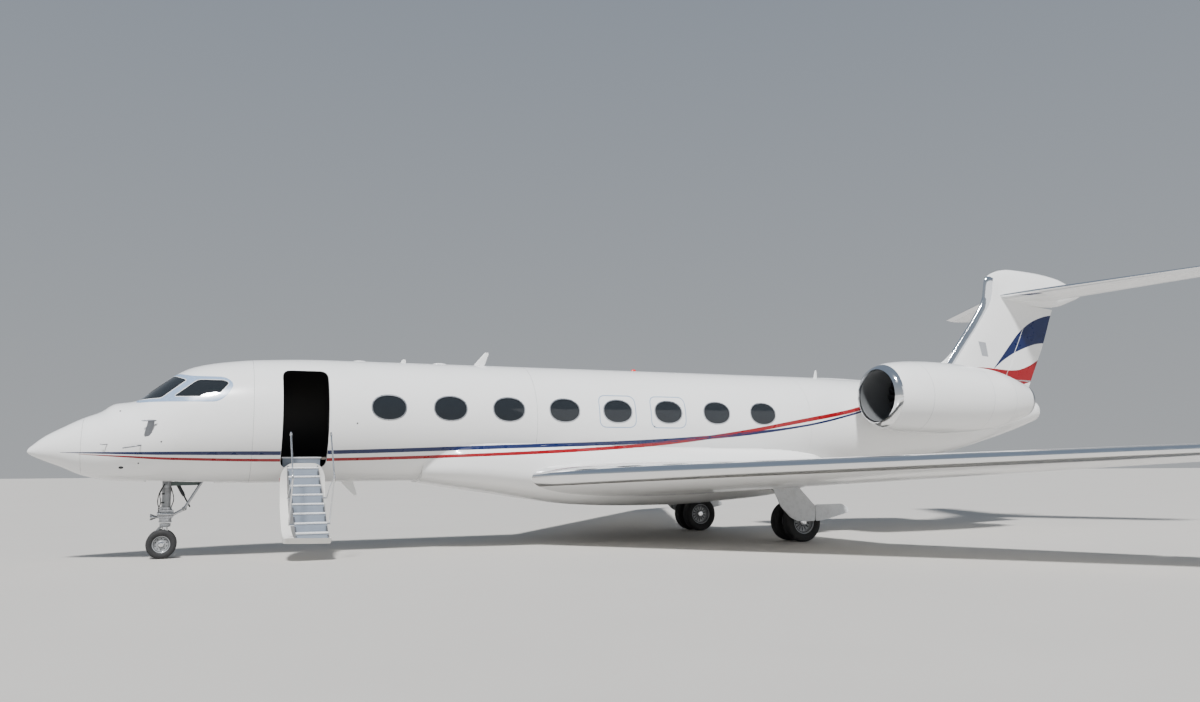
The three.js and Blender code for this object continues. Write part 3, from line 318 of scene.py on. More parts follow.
# A soft corner takes up a little more of the edge than an arc of its radius
CORNER_REACH = 1.15


def box_outline(x0, x1, z0, z1, radius):
    return rounded([(x0, z0), (x1, z0), (x1, z1), (x0, z1)], radius * CORNER_REACH, 9)


def slab(outline, radius, low, high):
    """An outline of station and height with soft corners, pushed across from low to high."""
    return prism(rounded(outline, radius), "y", low, high)


def grown(outline, by):
    """An outline moved outwards by a distance, square to its edges."""
    pts = np.array(outline, float)
    edge = np.roll(pts, -1, axis=0) - np.roll(pts, 1, axis=0)
    normal = np.column_stack([edge[:, 1], -edge[:, 0]])
    normal /= np.maximum(np.linalg.norm(normal, axis=1), 1e-9)[:, None]
    area = np.sum(pts[:, 0] * np.roll(pts[:, 1], -1) - np.roll(pts[:, 0], -1) * pts[:, 1])
    return pts + normal * by * (1 if area > 0 else -1)


def dense(outline, step=0.05, closed=True):
    """An outline with more points on its long edges."""
    pts = np.array(outline, float)
    out = []
    for i in range(len(pts) if closed else len(pts) - 1):
        a, b = pts[i], pts[(i + 1) % len(pts)]
        n = max(1, int(np.linalg.norm(b - a) / step))
        out.extend(a + (b - a) * k / n for k in range(n))
    if not closed:
        out.append(pts[-1])
    return np.array(out)


# Materials, all from nodes

# Sockets of a colour mix
FACTOR, FIRST_COLOUR, SECOND_COLOUR, MIXED = 0, 6, 7, 2
COAT_ROUGH, RELIEF_DEPTH = 0.05, 0.002
# Details of the broad, fine, relief and dirt noise
BROAD_DETAIL, FINE_DETAIL, RELIEF_DETAIL, DIRT_DETAIL = 6, 4, 3, 8


def finish(name, color, rough, metal=0.0, coat=0.0, vary=0.03, scale=2.0, grain=0.0, grain_scale=300.0,
           rough_vary=0.06, stretch=(1, 1, 1), dirt=None, extra=None):
    """A surface whose colour, roughness and relief vary a little from place to place."""
    m = bpy.data.materials.new(name)
    m.use_nodes = True
    nodes, links = m.node_tree.nodes, m.node_tree.links
    shader = nodes["Principled BSDF"]
    shader.inputs["Metallic"].default_value = metal
    shader.inputs["Coat Weight"].default_value = coat
    shader.inputs["Coat Roughness"].default_value = COAT_ROUGH
    where = nodes.new("ShaderNodeTexCoord")
    sized = nodes.new("ShaderNodeMapping")
    sized.inputs["Scale"].default_value = stretch
    links.new(where.outputs["Object"], sized.inputs["Vector"])

    def noise(size, detail, vector):
        node = nodes.new("ShaderNodeTexNoise")
        node.inputs["Scale"].default_value = size
        node.inputs["Detail"].default_value = detail
        links.new(vector, node.inputs["Vector"])
        return node.outputs["Fac"]

    def ranged(value, ends):
        node = nodes.new("ShaderNodeMapRange")
        for socket, end in ends.items():
            node.inputs[socket].default_value = end
        links.new(value, node.inputs["Value"])
        return node.outputs["Result"]

    blend = nodes.new("ShaderNodeMix")
    blend.data_type = "RGBA"
    blend.inputs[FIRST_COLOUR].default_value = (*[c * (1 - vary) for c in color], 1)
    blend.inputs[SECOND_COLOUR].default_value = (*[min(1, c * (1 + vary)) for c in color], 1)
    links.new(noise(scale, BROAD_DETAIL, sized.outputs["Vector"]), blend.inputs[FACTOR])
    shade = blend.outputs[MIXED]
    if dirt:
        tint, amount, dirt_scale = dirt
        patch = noise(dirt_scale, DIRT_DETAIL, where.outputs["Object"])
        over = nodes.new("ShaderNodeMix")
        over.data_type = "RGBA"
        over.inputs[SECOND_COLOUR].default_value = (*tint, 1)
        links.new(shade, over.inputs[FIRST_COLOUR])
        links.new(ranged(patch, {"From Min": 0.5, "From Max": 0.8, "To Max": amount}), over.inputs[FACTOR])
        shade = over.outputs[MIXED]
    links.new(shade, shader.inputs["Base Color"])
    fine = noise(scale * 4, FINE_DETAIL, sized.outputs["Vector"])
    spread = {"From Min": 0.3, "From Max": 0.7, "To Min": max(0.02, rough - rough_vary),
              "To Max": min(1, rough + rough_vary)}
    links.new(ranged(fine, spread), shader.inputs["Roughness"])
    if grain:
        bump = nodes.new("ShaderNodeBump")
        bump.inputs["Strength"].default_value = grain
        bump.inputs["Distance"].default_value = RELIEF_DEPTH
        links.new(noise(grain_scale, RELIEF_DETAIL, sized.outputs["Vector"]), bump.inputs["Height"])
        links.new(bump.outputs["Normal"], shader.inputs["Normal"])
    if extra:
        extra(shader)
    return m


def as_glass(weight, ior=1.45):
    def set_up(shader):
        shader.inputs["Transmission Weight"].default_value = weight
        shader.inputs["IOR"].default_value = ior
    return set_up


WHITE = finish("white_paint", (0.84, 0.84, 0.83), 0.2, coat=0.2, vary=0.012, scale=0.5, rough_vary=0.04,
               grain=0.02, grain_scale=40, dirt=((0.62, 0.6, 0.56), 0.12, 0.7))
BLUE = finish("blue_paint", (0.003, 0.011, 0.07), 0.3, coat=0.12, vary=0.06, scale=1)
RED = finish("red_paint", (0.26, 0.002, 0.007), 0.3, coat=0.12, vary=0.05, scale=1)
# Blue-grey trim paint; on the cockpit surround its blue also stands in for a painted reflection of the sky. The
# exit outlines take the same colour
SURROUND = finish("trim_paint_and_sky_reflection", (0.26, 0.36, 0.52), 0.25, coat=0.1, vary=0.03, scale=4)
POLISHED = finish("polished_edge", (0.86, 0.87, 0.88), 0.09, 1.0, vary=0.03, scale=3, rough_vary=0.04,
                  grain=0.02, grain_scale=60)
SATIN = finish("satin_alloy", (0.5, 0.51, 0.53), 0.3, 1.0, vary=0.06, scale=8, grain=0.05, grain_scale=150)
TREAD = finish("tread_alloy", (0.5, 0.52, 0.55), 0.38, 0.7, vary=0.08, scale=14, grain=0.15, grain_scale=260)
NOSING = finish("tread_nosing", (0.82, 0.83, 0.84), 0.3, 0.4, vary=0.05, scale=20, grain=0.05)
GEAR = finish("gear_enamel", (0.3, 0.31, 0.32), 0.34, 0.1, coat=0.3, vary=0.08, scale=9, grain=0.08,
              grain_scale=120, dirt=((0.12, 0.11, 0.1), 0.5, 6))
STEEL = finish("piston_chrome", (0.75, 0.76, 0.78), 0.12, 1.0, vary=0.05, scale=12)
DARK = finish("dark_metal", (0.05, 0.052, 0.056), 0.42, 0.8, vary=0.15, scale=8, grain=0.08)
TITANIUM = finish("fan_titanium", (0.24, 0.25, 0.27), 0.3, 1.0, vary=0.12, scale=10, stretch=(1, 8, 8),
                  grain=0.04)
HOT = finish("exhaust_alloy", (0.3, 0.26, 0.22), 0.4, 0.9, vary=0.2, scale=6, grain=0.06)
LINER = finish("duct_liner", (0.16, 0.165, 0.17), 0.5, 0.3, vary=0.06, scale=30, grain=0.25, grain_scale=500)
TYRE = finish("tyre_rubber", (0.018, 0.018, 0.019), 0.78, vary=0.25, scale=12, grain=0.35, grain_scale=350,
              dirt=((0.05, 0.046, 0.042), 0.35, 9))
# Black for the seals round the cut openings, and painted shade on the inside of the fuselage walls, which
# stands for the dark cabin
SEAL_AND_SHADE = finish("black_seal_and_painted_shade", (0.012, 0.012, 0.013), 0.55, vary=0.2, scale=20, grain=0.1)
PROBE = finish("probe_metal", (0.2, 0.21, 0.23), 0.35, 0.8, vary=0.15, scale=30, grain=0.05)
LINING = finish("door_lining", (0.72, 0.71, 0.68), 0.35, vary=0.04, scale=5, grain=0.06, grain_scale=220)
GLASS = finish("tinted_glass", (0.035, 0.042, 0.05), 0.03, vary=0.05, scale=2, rough_vary=0.01,
               extra=as_glass(0.55))
LENS = finish("clear_lens", (0.9, 0.92, 0.95), 0.04, vary=0.01, rough_vary=0.01, extra=as_glass(0.9))
RED_LENS = finish("red_lens", (0.7, 0.02, 0.02), 0.08, vary=0.02, rough_vary=0.02, coat=0.5)
CREAM = finish("cabin_trim", (0.62, 0.57, 0.48), 0.5, vary=0.04, scale=6, grain=0.1, grain_scale=220)
CARPET = finish("cabin_carpet", (0.16, 0.14, 0.12), 0.95, vary=0.2, scale=60, grain=0.8, grain_scale=700)
LEATHER = finish("seat_leather", (0.6, 0.52, 0.42), 0.45, vary=0.06, scale=10, grain=0.4, grain_scale=420)
PANEL = finish("instrument_black", (0.03, 0.03, 0.032), 0.5, vary=0.15, scale=20, grain=0.15)
FRAME_GREY = finish("frame_grey", (0.085, 0.09, 0.1), 0.42, 0.5, vary=0.12, scale=12, grain=0.1,
                    grain_scale=200)
STAIR_BLUE = finish("stair_panel", (0.27, 0.31, 0.37), 0.42, 0.35, vary=0.08, scale=10, grain=0.1,
                    grain_scale=240)
BRACKET = finish("bracket_primer", (0.1, 0.13, 0.12), 0.5, 0.2, vary=0.15, scale=10, grain=0.08)
HOSE = finish("braided_hose", (0.03, 0.03, 0.032), 0.5, 0.3, vary=0.3, scale=60, grain=0.5, grain_scale=500)
# The leg doors are white; this grey is painted shade on them, and the darker patches on it are dirt
SHADOW_PAINT = finish("leg_door_painted_shade", (0.66, 0.67, 0.68), 0.28, coat=0.15, vary=0.03, scale=3, grain=0.03,
                      dirt=((0.3, 0.28, 0.26), 0.25, 4))
SCREEN = finish("panel_screen", (0.01, 0.02, 0.035), 0.08, vary=0.3, scale=9, coat=0.6)
PIPING = finish("seat_piping", (0.42, 0.35, 0.27), 0.5, vary=0.08, scale=40, grain=0.2, grain_scale=600)
SEAM_LINE = finish("panel_seam", (0.32, 0.33, 0.35), 0.5, vary=0.15, scale=4)


# Pieces


def bring(name, part, looks, tags=None, sharp=38):
    """A Blender object from points and faces, not yet on a body."""
    points, faces = part
    placed = np.array(points, float)
    placed[:, 0] -= NOSE
    mesh = bpy.data.meshes.new(name)
    mesh.from_pydata(placed.tolist(), [], [list(map(int, f)) for f in faces])
    for look in looks if isinstance(looks, (list, tuple)) else [looks]:
        mesh.materials.append(look)
    if tags is not None:
        mesh.polygons.foreach_set("material_index", np.array(tags, np.int32))
    tidy = bmesh.new()
    tidy.from_mesh(mesh)
    bmesh.ops.remove_doubles(tidy, verts=tidy.verts, dist=1e-5)
    bmesh.ops.recalc_face_normals(tidy, faces=tidy.faces)
    tidy.to_mesh(mesh)
    tidy.free()
    mesh.shade_smooth()
    mesh.set_sharp_from_angle(angle=math.radians(sharp))
    obj = bpy.data.objects.new(name, mesh)
    bpy.context.scene.collection.objects.link(obj)
    return obj


def settle(obj, body="airframe", stands_for=(), slot="paint_white", place=None):
    """Puts an object on its body, with the CAD nodes that it takes the place of."""
    if place is not None:
        obj.matrix_world = place
    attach(obj, body)
    if stands_for:
        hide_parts(*stands_for)
    return obj


def add(name, part, looks, body="airframe", stands_for=(), slot="paint_white", place=None, tags=None, sharp=38):
    return settle(bring(name, part, looks, tags, sharp), body, stands_for, slot, place)


def tuck(poly):
    """Whether a face of the fuselage wall looks inwards."""
    waist = body_row(max(poly.center.x + NOSE, 0.0))[3]
    return poly.normal.y * poly.center.y + poly.normal.z * (poly.center.z - waist) < 0


SKIN_NEAR, SKIN_ALIGNED = 0.02, 0.93


def lay_normals(mesh, guide, edge_look=None):
    """Shades the skin faces of a cut mesh as the uncut skin would be, and its cut faces flat."""
    points, faces = np.array(guide[0], float), guide[1]
    points[:, 0] -= NOSE
    corners = [Vector(p) for p in points]
    tree = BVHTree.FromPolygons(corners, faces)
    vertex = np.zeros_like(points)
    for face in faces:
        a, b, c = points[face[0]], points[face[1]], points[face[2]]
        n = np.cross(b - a, c - a)
        if len(face) == 4:
            n = np.cross(points[face[2]] - a, points[face[3]] - b)
        for i in face:
            vertex[i] += n
    vertex /= np.maximum(np.linalg.norm(vertex, axis=1), 1e-12)[:, None]
    known, out = {}, [None] * len(mesh.loops)
    for poly in mesh.polygons:
        place, normal, _, away = tree.find_nearest(poly.center)
        skin = place is not None and away < SKIN_NEAR and abs(normal.dot(poly.normal)) > SKIN_ALIGNED
        # Cut faces and inward faces take the edge look; on the fuselage walls that black is seal at the
        # openings and painted shade on the inside
        if edge_look is not None and (not skin or tuck(poly)):
            poly.material_index = edge_look
        for li in poly.loop_indices:
            vi = mesh.loops[li].vertex_index
            if not skin:
                out[li] = poly.normal
                continue
            if vi not in known:
                near, _, index, _ = tree.find_nearest(mesh.vertices[vi].co)
                face = faces[index]
                weights = poly_3d_calc([corners[i] for i in face], near)
                mean = sum((vertex[i] * w for i, w in zip(face, weights)), np.zeros(3))
                known[vi] = Vector(mean).normalized()
            n = known[vi]
            out[li] = n if n.dot(poly.normal) > 0 else -n
    mesh.shade_smooth()
    mesh.normals_split_custom_set(out)


def carve(obj, cutters, guide=None, how="DIFFERENCE", edge_look=None):
    """Cuts an object with solids, one after the other, and lays its shading again."""
    tools = []
    for i, cutter in enumerate(cutters):
        tool = bring(f"tool_{i}", cutter, [])
        tools.append(tool)
        m = obj.modifiers.new(f"cut_{i}", "BOOLEAN")
        m.object, m.operation, m.solver = tool, how, "EXACT"
    bpy.context.view_layer.update()
    made = bpy.data.meshes.new_from_object(obj.evaluated_get(bpy.context.evaluated_depsgraph_get()))
    obj.modifiers.clear()
    old = obj.data
    obj.data = made
    bpy.data.meshes.remove(old)
    made.name = obj.name
    for tool in tools:
        data = tool.data
        bpy.data.objects.remove(tool)
        bpy.data.meshes.remove(data)
    if guide is not None:
        lay_normals(obj.data, guide, edge_look)
    else:
        obj.data.shade_smooth()
        obj.data.set_sharp_from_angle(angle=math.radians(35))
    return obj


def mirror(obj, name, guide=None, edge_look=None):
    """The same piece on the other side."""
    mesh = obj.data.copy()
    mesh.name = name
    mesh.transform(Matrix.Scale(-1, 4, (0, 1, 0)))
    mesh.flip_normals()
    other = bpy.data.objects.new(name, mesh)
    bpy.context.scene.collection.objects.link(other)
    if guide is not None:
        lay_normals(mesh, flipped(guide), edge_look)
    return other


SIDES = (("port", -1), ("starboard", 1))


def both(name, part, looks, body="airframe", stands_for=(), slot="paint_white", sharp=38, tags=None):
    """A piece drawn to starboard and its mirror image. {} in a name is the side."""
    for word, side in SIDES:
        shape = part if side > 0 else flipped(part)
        add(name.format(word), shape, looks, body.format(word), [n.format(word) for n in stands_for],
            slot, tags=tags, sharp=sharp)


# Fuselage skin


def skin_stations(start, end, step):
    return np.linspace(start, end, max(2, int((end - start) / step) + 1))


def body_tube(start, end, step, outer=0.0, inner=-WALL):
    """A length of wall as a closed ring, and its two skins without the end faces."""
    stations = skin_stations(start, end, step)
    outside = [body_ring(x, outer) for x in stations]
    inside = [body_ring(x, inner) for x in stations]
    return grid(outside + inside[::-1], along=True), joined(grid(outside), grid(inside))


WINDOW_FIRST, WINDOW_PITCH, WINDOW_COUNT = 6.815, 1.334, 8
WINDOW_X = [WINDOW_FIRST + WINDOW_PITCH * i for i in range(WINDOW_COUNT)]
# Cutters reach this far out, past the skin
CUT_REACH = 1.7
WINDOW_Z, WINDOW_W, WINDOW_H = 3.07, 0.711, 0.521
FRONT_PANE = [(1.93, 3.2), (2.37, 3.213), (2.83, 3.593), (2.58, 3.7)]
SIDE_PANE = [(2.6, 3.24), (3.29, 3.237), (3.44, 3.29), (3.63, 3.53), (3.53, 3.588), (3.04, 3.597)]
POST = 0.045
# Door: front, rear, foot and top of its outline, and its corner radius
DOOR = (4.66, 5.58, 1.8, 3.84, 0.15)
front_pane, side_pane = rounded(FRONT_PANE, 0.05), rounded(SIDE_PANE, 0.07)
door_outline = box_outline(*DOOR)
NOSE_BAY = (2.13, 3.44, -0.25, 0.25, 1.2, 1.9)


def pane_cutter(outline, side, inset=0.0):
    """What a pane of the cockpit glass is cut with, up to the post on the centre line."""
    return prism(outline, "y", *sorted((side * (POST - inset), side * CUT_REACH)))


def window_cutters(start, end):
    """Holes for the cabin windows between two stations, through both sides."""
    return [prism(oval(x, WINDOW_Z, WINDOW_W, WINDOW_H), "y", -CUT_REACH, CUT_REACH)
            for x in WINDOW_X if start < x < end]


cutters = [block(*NOSE_BAY)]
for word, side in SIDES:
    for pane in (front_pane, side_pane):
        cutters.append(pane_cutter(pane, side))
shell, guide = body_tube(RADOME_END + SEAM, COCKPIT_END - SEAM, 0.05)
cockpit = carve(bring("cockpit_skin", shell, [WHITE, SEAL_AND_SHADE]), cutters, guide, edge_look=1)
settle(cockpit, stands_for=["cockpit_shell"])

nose_x = np.linspace(0.02, math.sqrt(RADOME_END - SEAM), 44) ** 2
RADOME_INSIDE = -0.06
nose_rings = [body_ring(x) for x in nose_x]
nose_rings += [body_ring(x, RADOME_INSIDE) for x in (RADOME_END - SEAM, RADOME_END - 0.05)]
add("radome_skin", grid(nose_rings, caps=True), WHITE, stands_for=["radome"], slot="composite_white")

shell, guide = body_tube(COCKPIT_END + SEAM, CABIN_BREAK - SEAM, 0.2)
cutters = [prism(door_outline, "y", -CUT_REACH, -0.5)] + window_cutters(COCKPIT_END, CABIN_BREAK)
forward = carve(bring("forward_cabin_skin", shell, [WHITE, SEAL_AND_SHADE]), cutters, guide, edge_look=1)
settle(forward, stands_for=["forward_cabin_shell"])

shell, guide = body_tube(CABIN_BREAK + SEAM, CABIN_END - SEAM, 0.2)
cutters = window_cutters(CABIN_BREAK, CABIN_END)
aft = carve(bring("aft_cabin_skin", shell, [WHITE, SEAL_AND_SHADE]), cutters, guide, edge_look=1)
settle(aft, stands_for=["aft_cabin_shell"])

TAIL_INSIDE = -0.06
EXHAUST_HEIGHT = 3.43
tail_x = skin_stations(CABIN_END + SEAM, TAIL_END, 0.18)
tail_rings = [body_ring(CABIN_END + 0.4, TAIL_INSIDE), body_ring(CABIN_END + SEAM, TAIL_INSIDE)]
tail_rings += [body_ring(x) for x in tail_x]
end_ring = body_ring(TAIL_END)
end_middle = end_ring.mean(axis=0)
for out, shrink in ((0.03, 0.93), (0.05, 0.8), (0.055, 0.62)):
    ring = end_middle + (end_ring - end_middle) * shrink
    ring[:, 0] += out
    tail_rings.append(ring)
angle = 2 * math.pi * (np.arange(SKIN_SIDES) + 0.5) / SKIN_SIDES
for back, radius in ((0.05, 0.145), (-0.3, 0.14)):
    tail_rings.append(np.column_stack([np.full(SKIN_SIDES, TAIL_END + back), radius * np.sin(angle),
                                       EXHAUST_HEIGHT + radius * np.cos(angle)]))
part = grid(tail_rings, caps=True)
painted = (len(tail_rings) - 3) * SKIN_SIDES
tags = [1 if i >= painted else 0 for i in range(len(part[1]))]
add("rear_fuselage_skin", part, [WHITE, DARK], stands_for=["rear_fuselage"], tags=tags)


FAIRING_POINTS = 161
# The fairing's skin shows where it stands this far proud of the fuselage
FAIRING_PROUD = 0.0015


def belly_fairing():
    """The fairing as a skin over the fuselage, down to where its fillet dies away."""
    rings, inner = [], []
    for i, x in enumerate(FAIR_X):
        excess = FAIR_OUT[i] - FAIR_BODY[i]
        proud = np.nonzero(excess > FAIRING_PROUD)[0]
        start = FAIR_A[proud[0]] if len(proud) else math.pi * 0.8
        angles = np.linspace(start, 2 * math.pi - start, FAIRING_POINTS)
        folded = np.where(angles > math.pi, 2 * math.pi - angles, angles)
        r = np.interp(folded, FAIR_A, FAIR_OUT[i])
        r0 = np.minimum(np.interp(folded, FAIR_A, FAIR_BODY[i]) - 0.02, r - 0.02)
        for radius, into in ((r, rings), (r0, inner)):
            y, z = radius * np.sin(angles), FAIR_C[i] + radius * np.cos(angles)
            into.append(np.column_stack([np.full(FAIRING_POINTS, x), y, z]))
    around = [np.vstack([a, b[::-1]]) for a, b in zip(rings, inner)]
    return grid(around, caps=True)


add("belly_fairing_skin", belly_fairing(), WHITE, stands_for=["wing_body_fairing"])


# Plates, bands and lines that lie on the fuselage side


SINK = 0.004


def on_side(points, side, lift):
    """Points of station and height laid on one side of the fuselage, lifted square to it."""
    out = []
    for x, z in points:
        y = outer_half(x, z)
        dz, dx = 0.01, 0.02
        slope_z = (outer_half(x, z + dz) - outer_half(x, z - dz)) / (2 * dz)
        slope_x = (outer_half(x + dx, z) - outer_half(x - dx, z)) / (2 * dx)
        n = np.array([-slope_x, 1.0, -slope_z])
        n /= np.linalg.norm(n)
        out.append((np.array([x, y, z]) + n * lift) * np.array([1, side, 1]))
    return np.array(out)


def ring_plate(outer, inner, side, lift, depth):
    """A flat ring between two outlines, with edges that turn into the skin."""
    return grid([on_side(outer, side, -SINK), on_side(outer, side, lift), on_side(inner, side, lift),
                 on_side(inner, side, -depth)])


def pillow(outline, side, lift, thick, rings=5):
    """A closed pane of even thickness inside an outline."""
    middle = np.mean(outline, axis=0)
    shares = np.linspace(0.02, 1, rings)
    layers = [on_side(middle + (outline - middle) * s, side, lift) for s in shares]
    layers += [on_side(middle + (outline - middle) * s, side, lift - thick) for s in shares[::-1]]
    return grid(layers, caps=True)


# Painted lines and marks lie this far off the skin, and their edges this far
LINE_LIFT, LINE_EDGE = 0.0016, 0.0005


def band(rows, side, lift=LINE_LIFT, step=0.06):
    """A painted line from rows of station, height of its middle and half its width."""
    table = straight(rows) if len(rows) < 3 else pchip(rows)
    count = max(2, int((rows[-1][0] - rows[0][0]) / step))
    stations = np.linspace(rows[0][0], rows[-1][0], count)
    low, high = [], []
    for x in stations:
        z, half = table(x)
        low.append((x, z - half))
        high.append((x, z + half))
    middle = [((a[0] + b[0]) / 2, (a[1] + b[1]) / 2) for a, b in zip(low, high)]
    return grid([on_side(low, side, LINE_EDGE), on_side(low, side, lift), on_side(middle, side, lift),
                 on_side(high, side, lift), on_side(high, side, LINE_EDGE)], around=False)


# Painted lines: station, height of the middle, half width
BLUE_LINE = [
    [0.62, 2.135, 0.002], [1.37, 2.12, 0.016], [2.4, 2.106, 0.03], [4.66, 2.105, 0.039], [5.63, 2.123, 0.04],
    [9.03, 2.228, 0.043], [12.72, 2.358, 0.046], [15.1, 2.517, 0.044], [17.36, 2.782, 0.026],
    [18.96, 3.113, 0.026], [19.7, 3.31, 0.026],
]
RED_LINE = [
    [0.95, 2.1, 0.002], [1.69, 2.052, 0.014], [2.6, 2.0, 0.024], [4.67, 1.962, 0.029], [5.65, 1.973, 0.031],
    [9.06, 2.067, 0.035], [12.73, 2.269, 0.042], [15.1, 2.542, 0.045], [17.37, 2.918, 0.049],
    [18.99, 3.21, 0.051], [19.7, 3.4, 0.05],
]


def cut_rows(rows, start, end, smooth):
    """The part of a table between two stations."""
    kept = [r for r in rows if start < r[0] < end]
    first = [start, *smooth(start)] if rows[0][0] < start else None
    last = [end, *smooth(end)] if rows[-1][0] > end else None
    return ([first] if first else []) + kept + ([last] if last else [])


DOOR_GAP = 0.004
LINES = (("blue", BLUE, BLUE_LINE), ("red", RED, RED_LINE))
# Past the ends of every painted line
FRONT_END, REAR_END = 0, 30
for colour, look, rows in LINES:
    whole = pchip(rows)
    fine_rows = [[x, *whole(x)] for x in np.linspace(rows[0][0], rows[-1][0], 180)]
    for word, side in SIDES:
        spans = [(FRONT_END, REAR_END)]
        if side < 0:
            spans = [(FRONT_END, DOOR[0] - DOOR_GAP), (DOOR[1] + DOOR_GAP, REAR_END)]
        parts = [band(cut_rows(fine_rows, a, b, whole), side) for a, b in spans]
        add(f"{word}_{colour}_line", joined(*parts), look)

EXIT_WINDOWS = (4, 5)
EXIT_HALF_WIDTH, EXIT_HALF_HEIGHT, EXIT_CORNER = 0.475, 0.385, 0.17
COCKPIT_GLASS = (1.5, 4.0, 0.05)
COCKPIT_PANES = (("windshield", front_pane, "windshield"), ("side_pane", side_pane, "side_window"))
for word, side in SIDES:
    panes, frames, exits = [], [], []
    for i, x in enumerate(WINDOW_X):
        hole = oval(x, WINDOW_Z, WINDOW_W, WINDOW_H)
        panes.append(pillow(oval(x, WINDOW_Z, WINDOW_W + 0.01, WINDOW_H + 0.01), side, -0.012, 0.016))
        frames.append(ring_plate(grown(hole, 0.022), grown(hole, -SINK), side, 0.003, 0.02))
        if i in EXIT_WINDOWS:
            outline = dense(box_outline(x - EXIT_HALF_WIDTH, x + EXIT_HALF_WIDTH, WINDOW_Z - EXIT_HALF_HEIGHT,
                                        WINDOW_Z + EXIT_HALF_HEIGHT, EXIT_CORNER), 0.06)
            exits.append(ring_plate(outline, grown(outline, -0.02), side, 0.0015, 0.002))
    add(f"{word}_cabin_glass", joined(*panes), GLASS, stands_for=[f"{word}_cabin_windows"],
        slot="tinted_glass")
    add(f"{word}_window_frames", joined(*frames), SATIN)
    add(f"{word}_exit_outlines", joined(*exits), SURROUND)
    for name, outline, node in COCKPIT_PANES:
        layer, layer_guide = body_tube(*COCKPIT_GLASS, -0.008, -0.03)
        pane = bring(f"{word}_{name}_glass", layer, [GLASS])
        carve(pane, [pane_cutter(grown(outline, 0.004), side, 0.004)], layer_guide, how="INTERSECT")
        settle(pane, stands_for=[f"{word}_{node}"], slot="tinted_glass")

# The surround of the cockpit glass, whose blue is partly trim paint and partly a painted reflection of the sky,
# and the black gasket of each pane
SURROUND_OUTLINE = [
    (1.84, 3.13), (3.42, 3.13), (3.6, 3.27), (3.73, 3.51), (3.56, 3.66), (2.92, 3.68), (2.6, 3.77),
]
GASKET = 0.012
layer, layer_guide = body_tube(*COCKPIT_GLASS, 0.0022, -0.004)
surround = bring("cockpit_surround", layer, [SURROUND])
carve(surround, [slab(SURROUND_OUTLINE, 0.14, -CUT_REACH, CUT_REACH)], None, how="INTERSECT")
holes = []
for word, side in SIDES:
    for pane in (front_pane, side_pane):
        holes.append(pane_cutter(grown(pane, GASKET), side, GASKET))
carve(surround, holes, layer_guide)
settle(surround)


# Wings


def foil_half(c, ratio):
    return 5 * ratio * (0.2969 * np.sqrt(c) - 0.126 * c - 0.3516 * c ** 2 + 0.2843 * c ** 3 - 0.1036 * c ** 4)


EDGE_THICK = 0.009
# Wing: distance out, height and station of the leading edge, chord, thickness ratio,
# fall of the trailing edge, cant
WING = [
    [0.9, 1.552, 9.57, 7.6, 0.105, 0.27, 0], [1.5, 1.574, 10.025, 7.11, 0.105, 0.27, 0],
    [5.0, 1.708, 12.695, 4.405, 0.102, 0.285, 0], [9.6, 1.885, 16.2, 3.0, 0.1, 0.15, 0],
    [14.05, 2.056, 19.59, 1.63, 0.1, 0.04, 4], [14.62, 2.13, 20.06, 1.37, 0.1, 0.03, 25],
    [14.93, 2.36, 20.4, 1.19, 0.09, 0.02, 58], [15.02, 2.7, 20.76, 0.99, 0.085, 0.015, 78],
    [15.155, 3.62, 21.56, 0.56, 0.08, 0.008, 80],
]
wing_at = straight(WING)
# Fin: height, station of the leading edge, chord, thickness ratio. Its top rows stand inside the bullet.
FIN = [
    [3.65, 22.4, 4.06, 0.1], [4.23, 22.93, 3.8, 0.1], [5.5, 24.01, 3.385, 0.1], [6.2, 24.59, 3.105, 0.1],
    [6.79, 24.985, 2.93, 0.1], [7.05, 25.045, 2.87, 0.1], [7.25, 25.085, 2.8, 0.098],
    [7.4, 25.125, 2.72, 0.09], [7.5, 25.2, 2.6, 0.06],
]
fin_at = pchip(FIN)
# Tailplane: distance out, height and station of the leading edge, chord, thickness ratio
TAILPLANE = [[0, 6.9, 25.5, 2.38, 0.1], [2.7, 7.022, 27.095, 1.89, 0.095], [5.4, 7.143, 28.69, 1.41, 0.09]]
tail_at = straight(TAILPLANE)
RUN_GAP = 0.01
# Length of the polished edge and the faces along it, above and below
WING_LIP, FIN_LIP, TAIL_LIP, PYLON_LIP = 0.3, 0.26, 0.2, 0.12
LIP_COUNT, REST_COUNT = 9, 25
LIP_SHARE = 0.3


def wing_point(s, c, up):
    z, x, chord, _, fall, cant = wing_at(s)
    lean = math.radians(cant)
    return np.array([x + c * chord, s - up * math.sin(lean), z - c * fall + up * math.cos(lean)])


def fin_point(s, c, up):
    x, chord, _ = fin_at(s)
    return np.array([x + c * chord, up, s])


def tail_point(s, c, up):
    z, x, chord, _ = tail_at(s)
    return np.array([x + c * chord, s, z + up])


def wing_size(s):
    return wing_at(s)[2:4]


def fin_size(s):
    return fin_at(s)[1:3]


def tail_size(s):
    return tail_at(s)[2:4]


def shares(chord, lip):
    """Shares of the chord, with one of them where the polished edge ends."""
    edge = min(lip / chord, LIP_SHARE)
    front, rear = np.linspace(0, 1, LIP_COUNT + 1)[1:], np.linspace(0, 1, REST_COUNT + 1)[1:]
    return np.concatenate([edge * front ** 2, edge + (1 - edge) * rear ** 1.15])


def foil_loop(chord, ratio, lip, at):
    """Points round a section: along the top from the trailing edge, round the nose, and back below."""
    c = shares(chord, lip)
    up = chord * foil_half(c, ratio) + EDGE_THICK / 2 * c
    top = [at(ci, ui) for ci, ui in zip(c[::-1], up[::-1])]
    below = [at(ci, -ui) for ci, ui in zip(c, up)]
    return np.array(top + [at(0, 0)] + below)


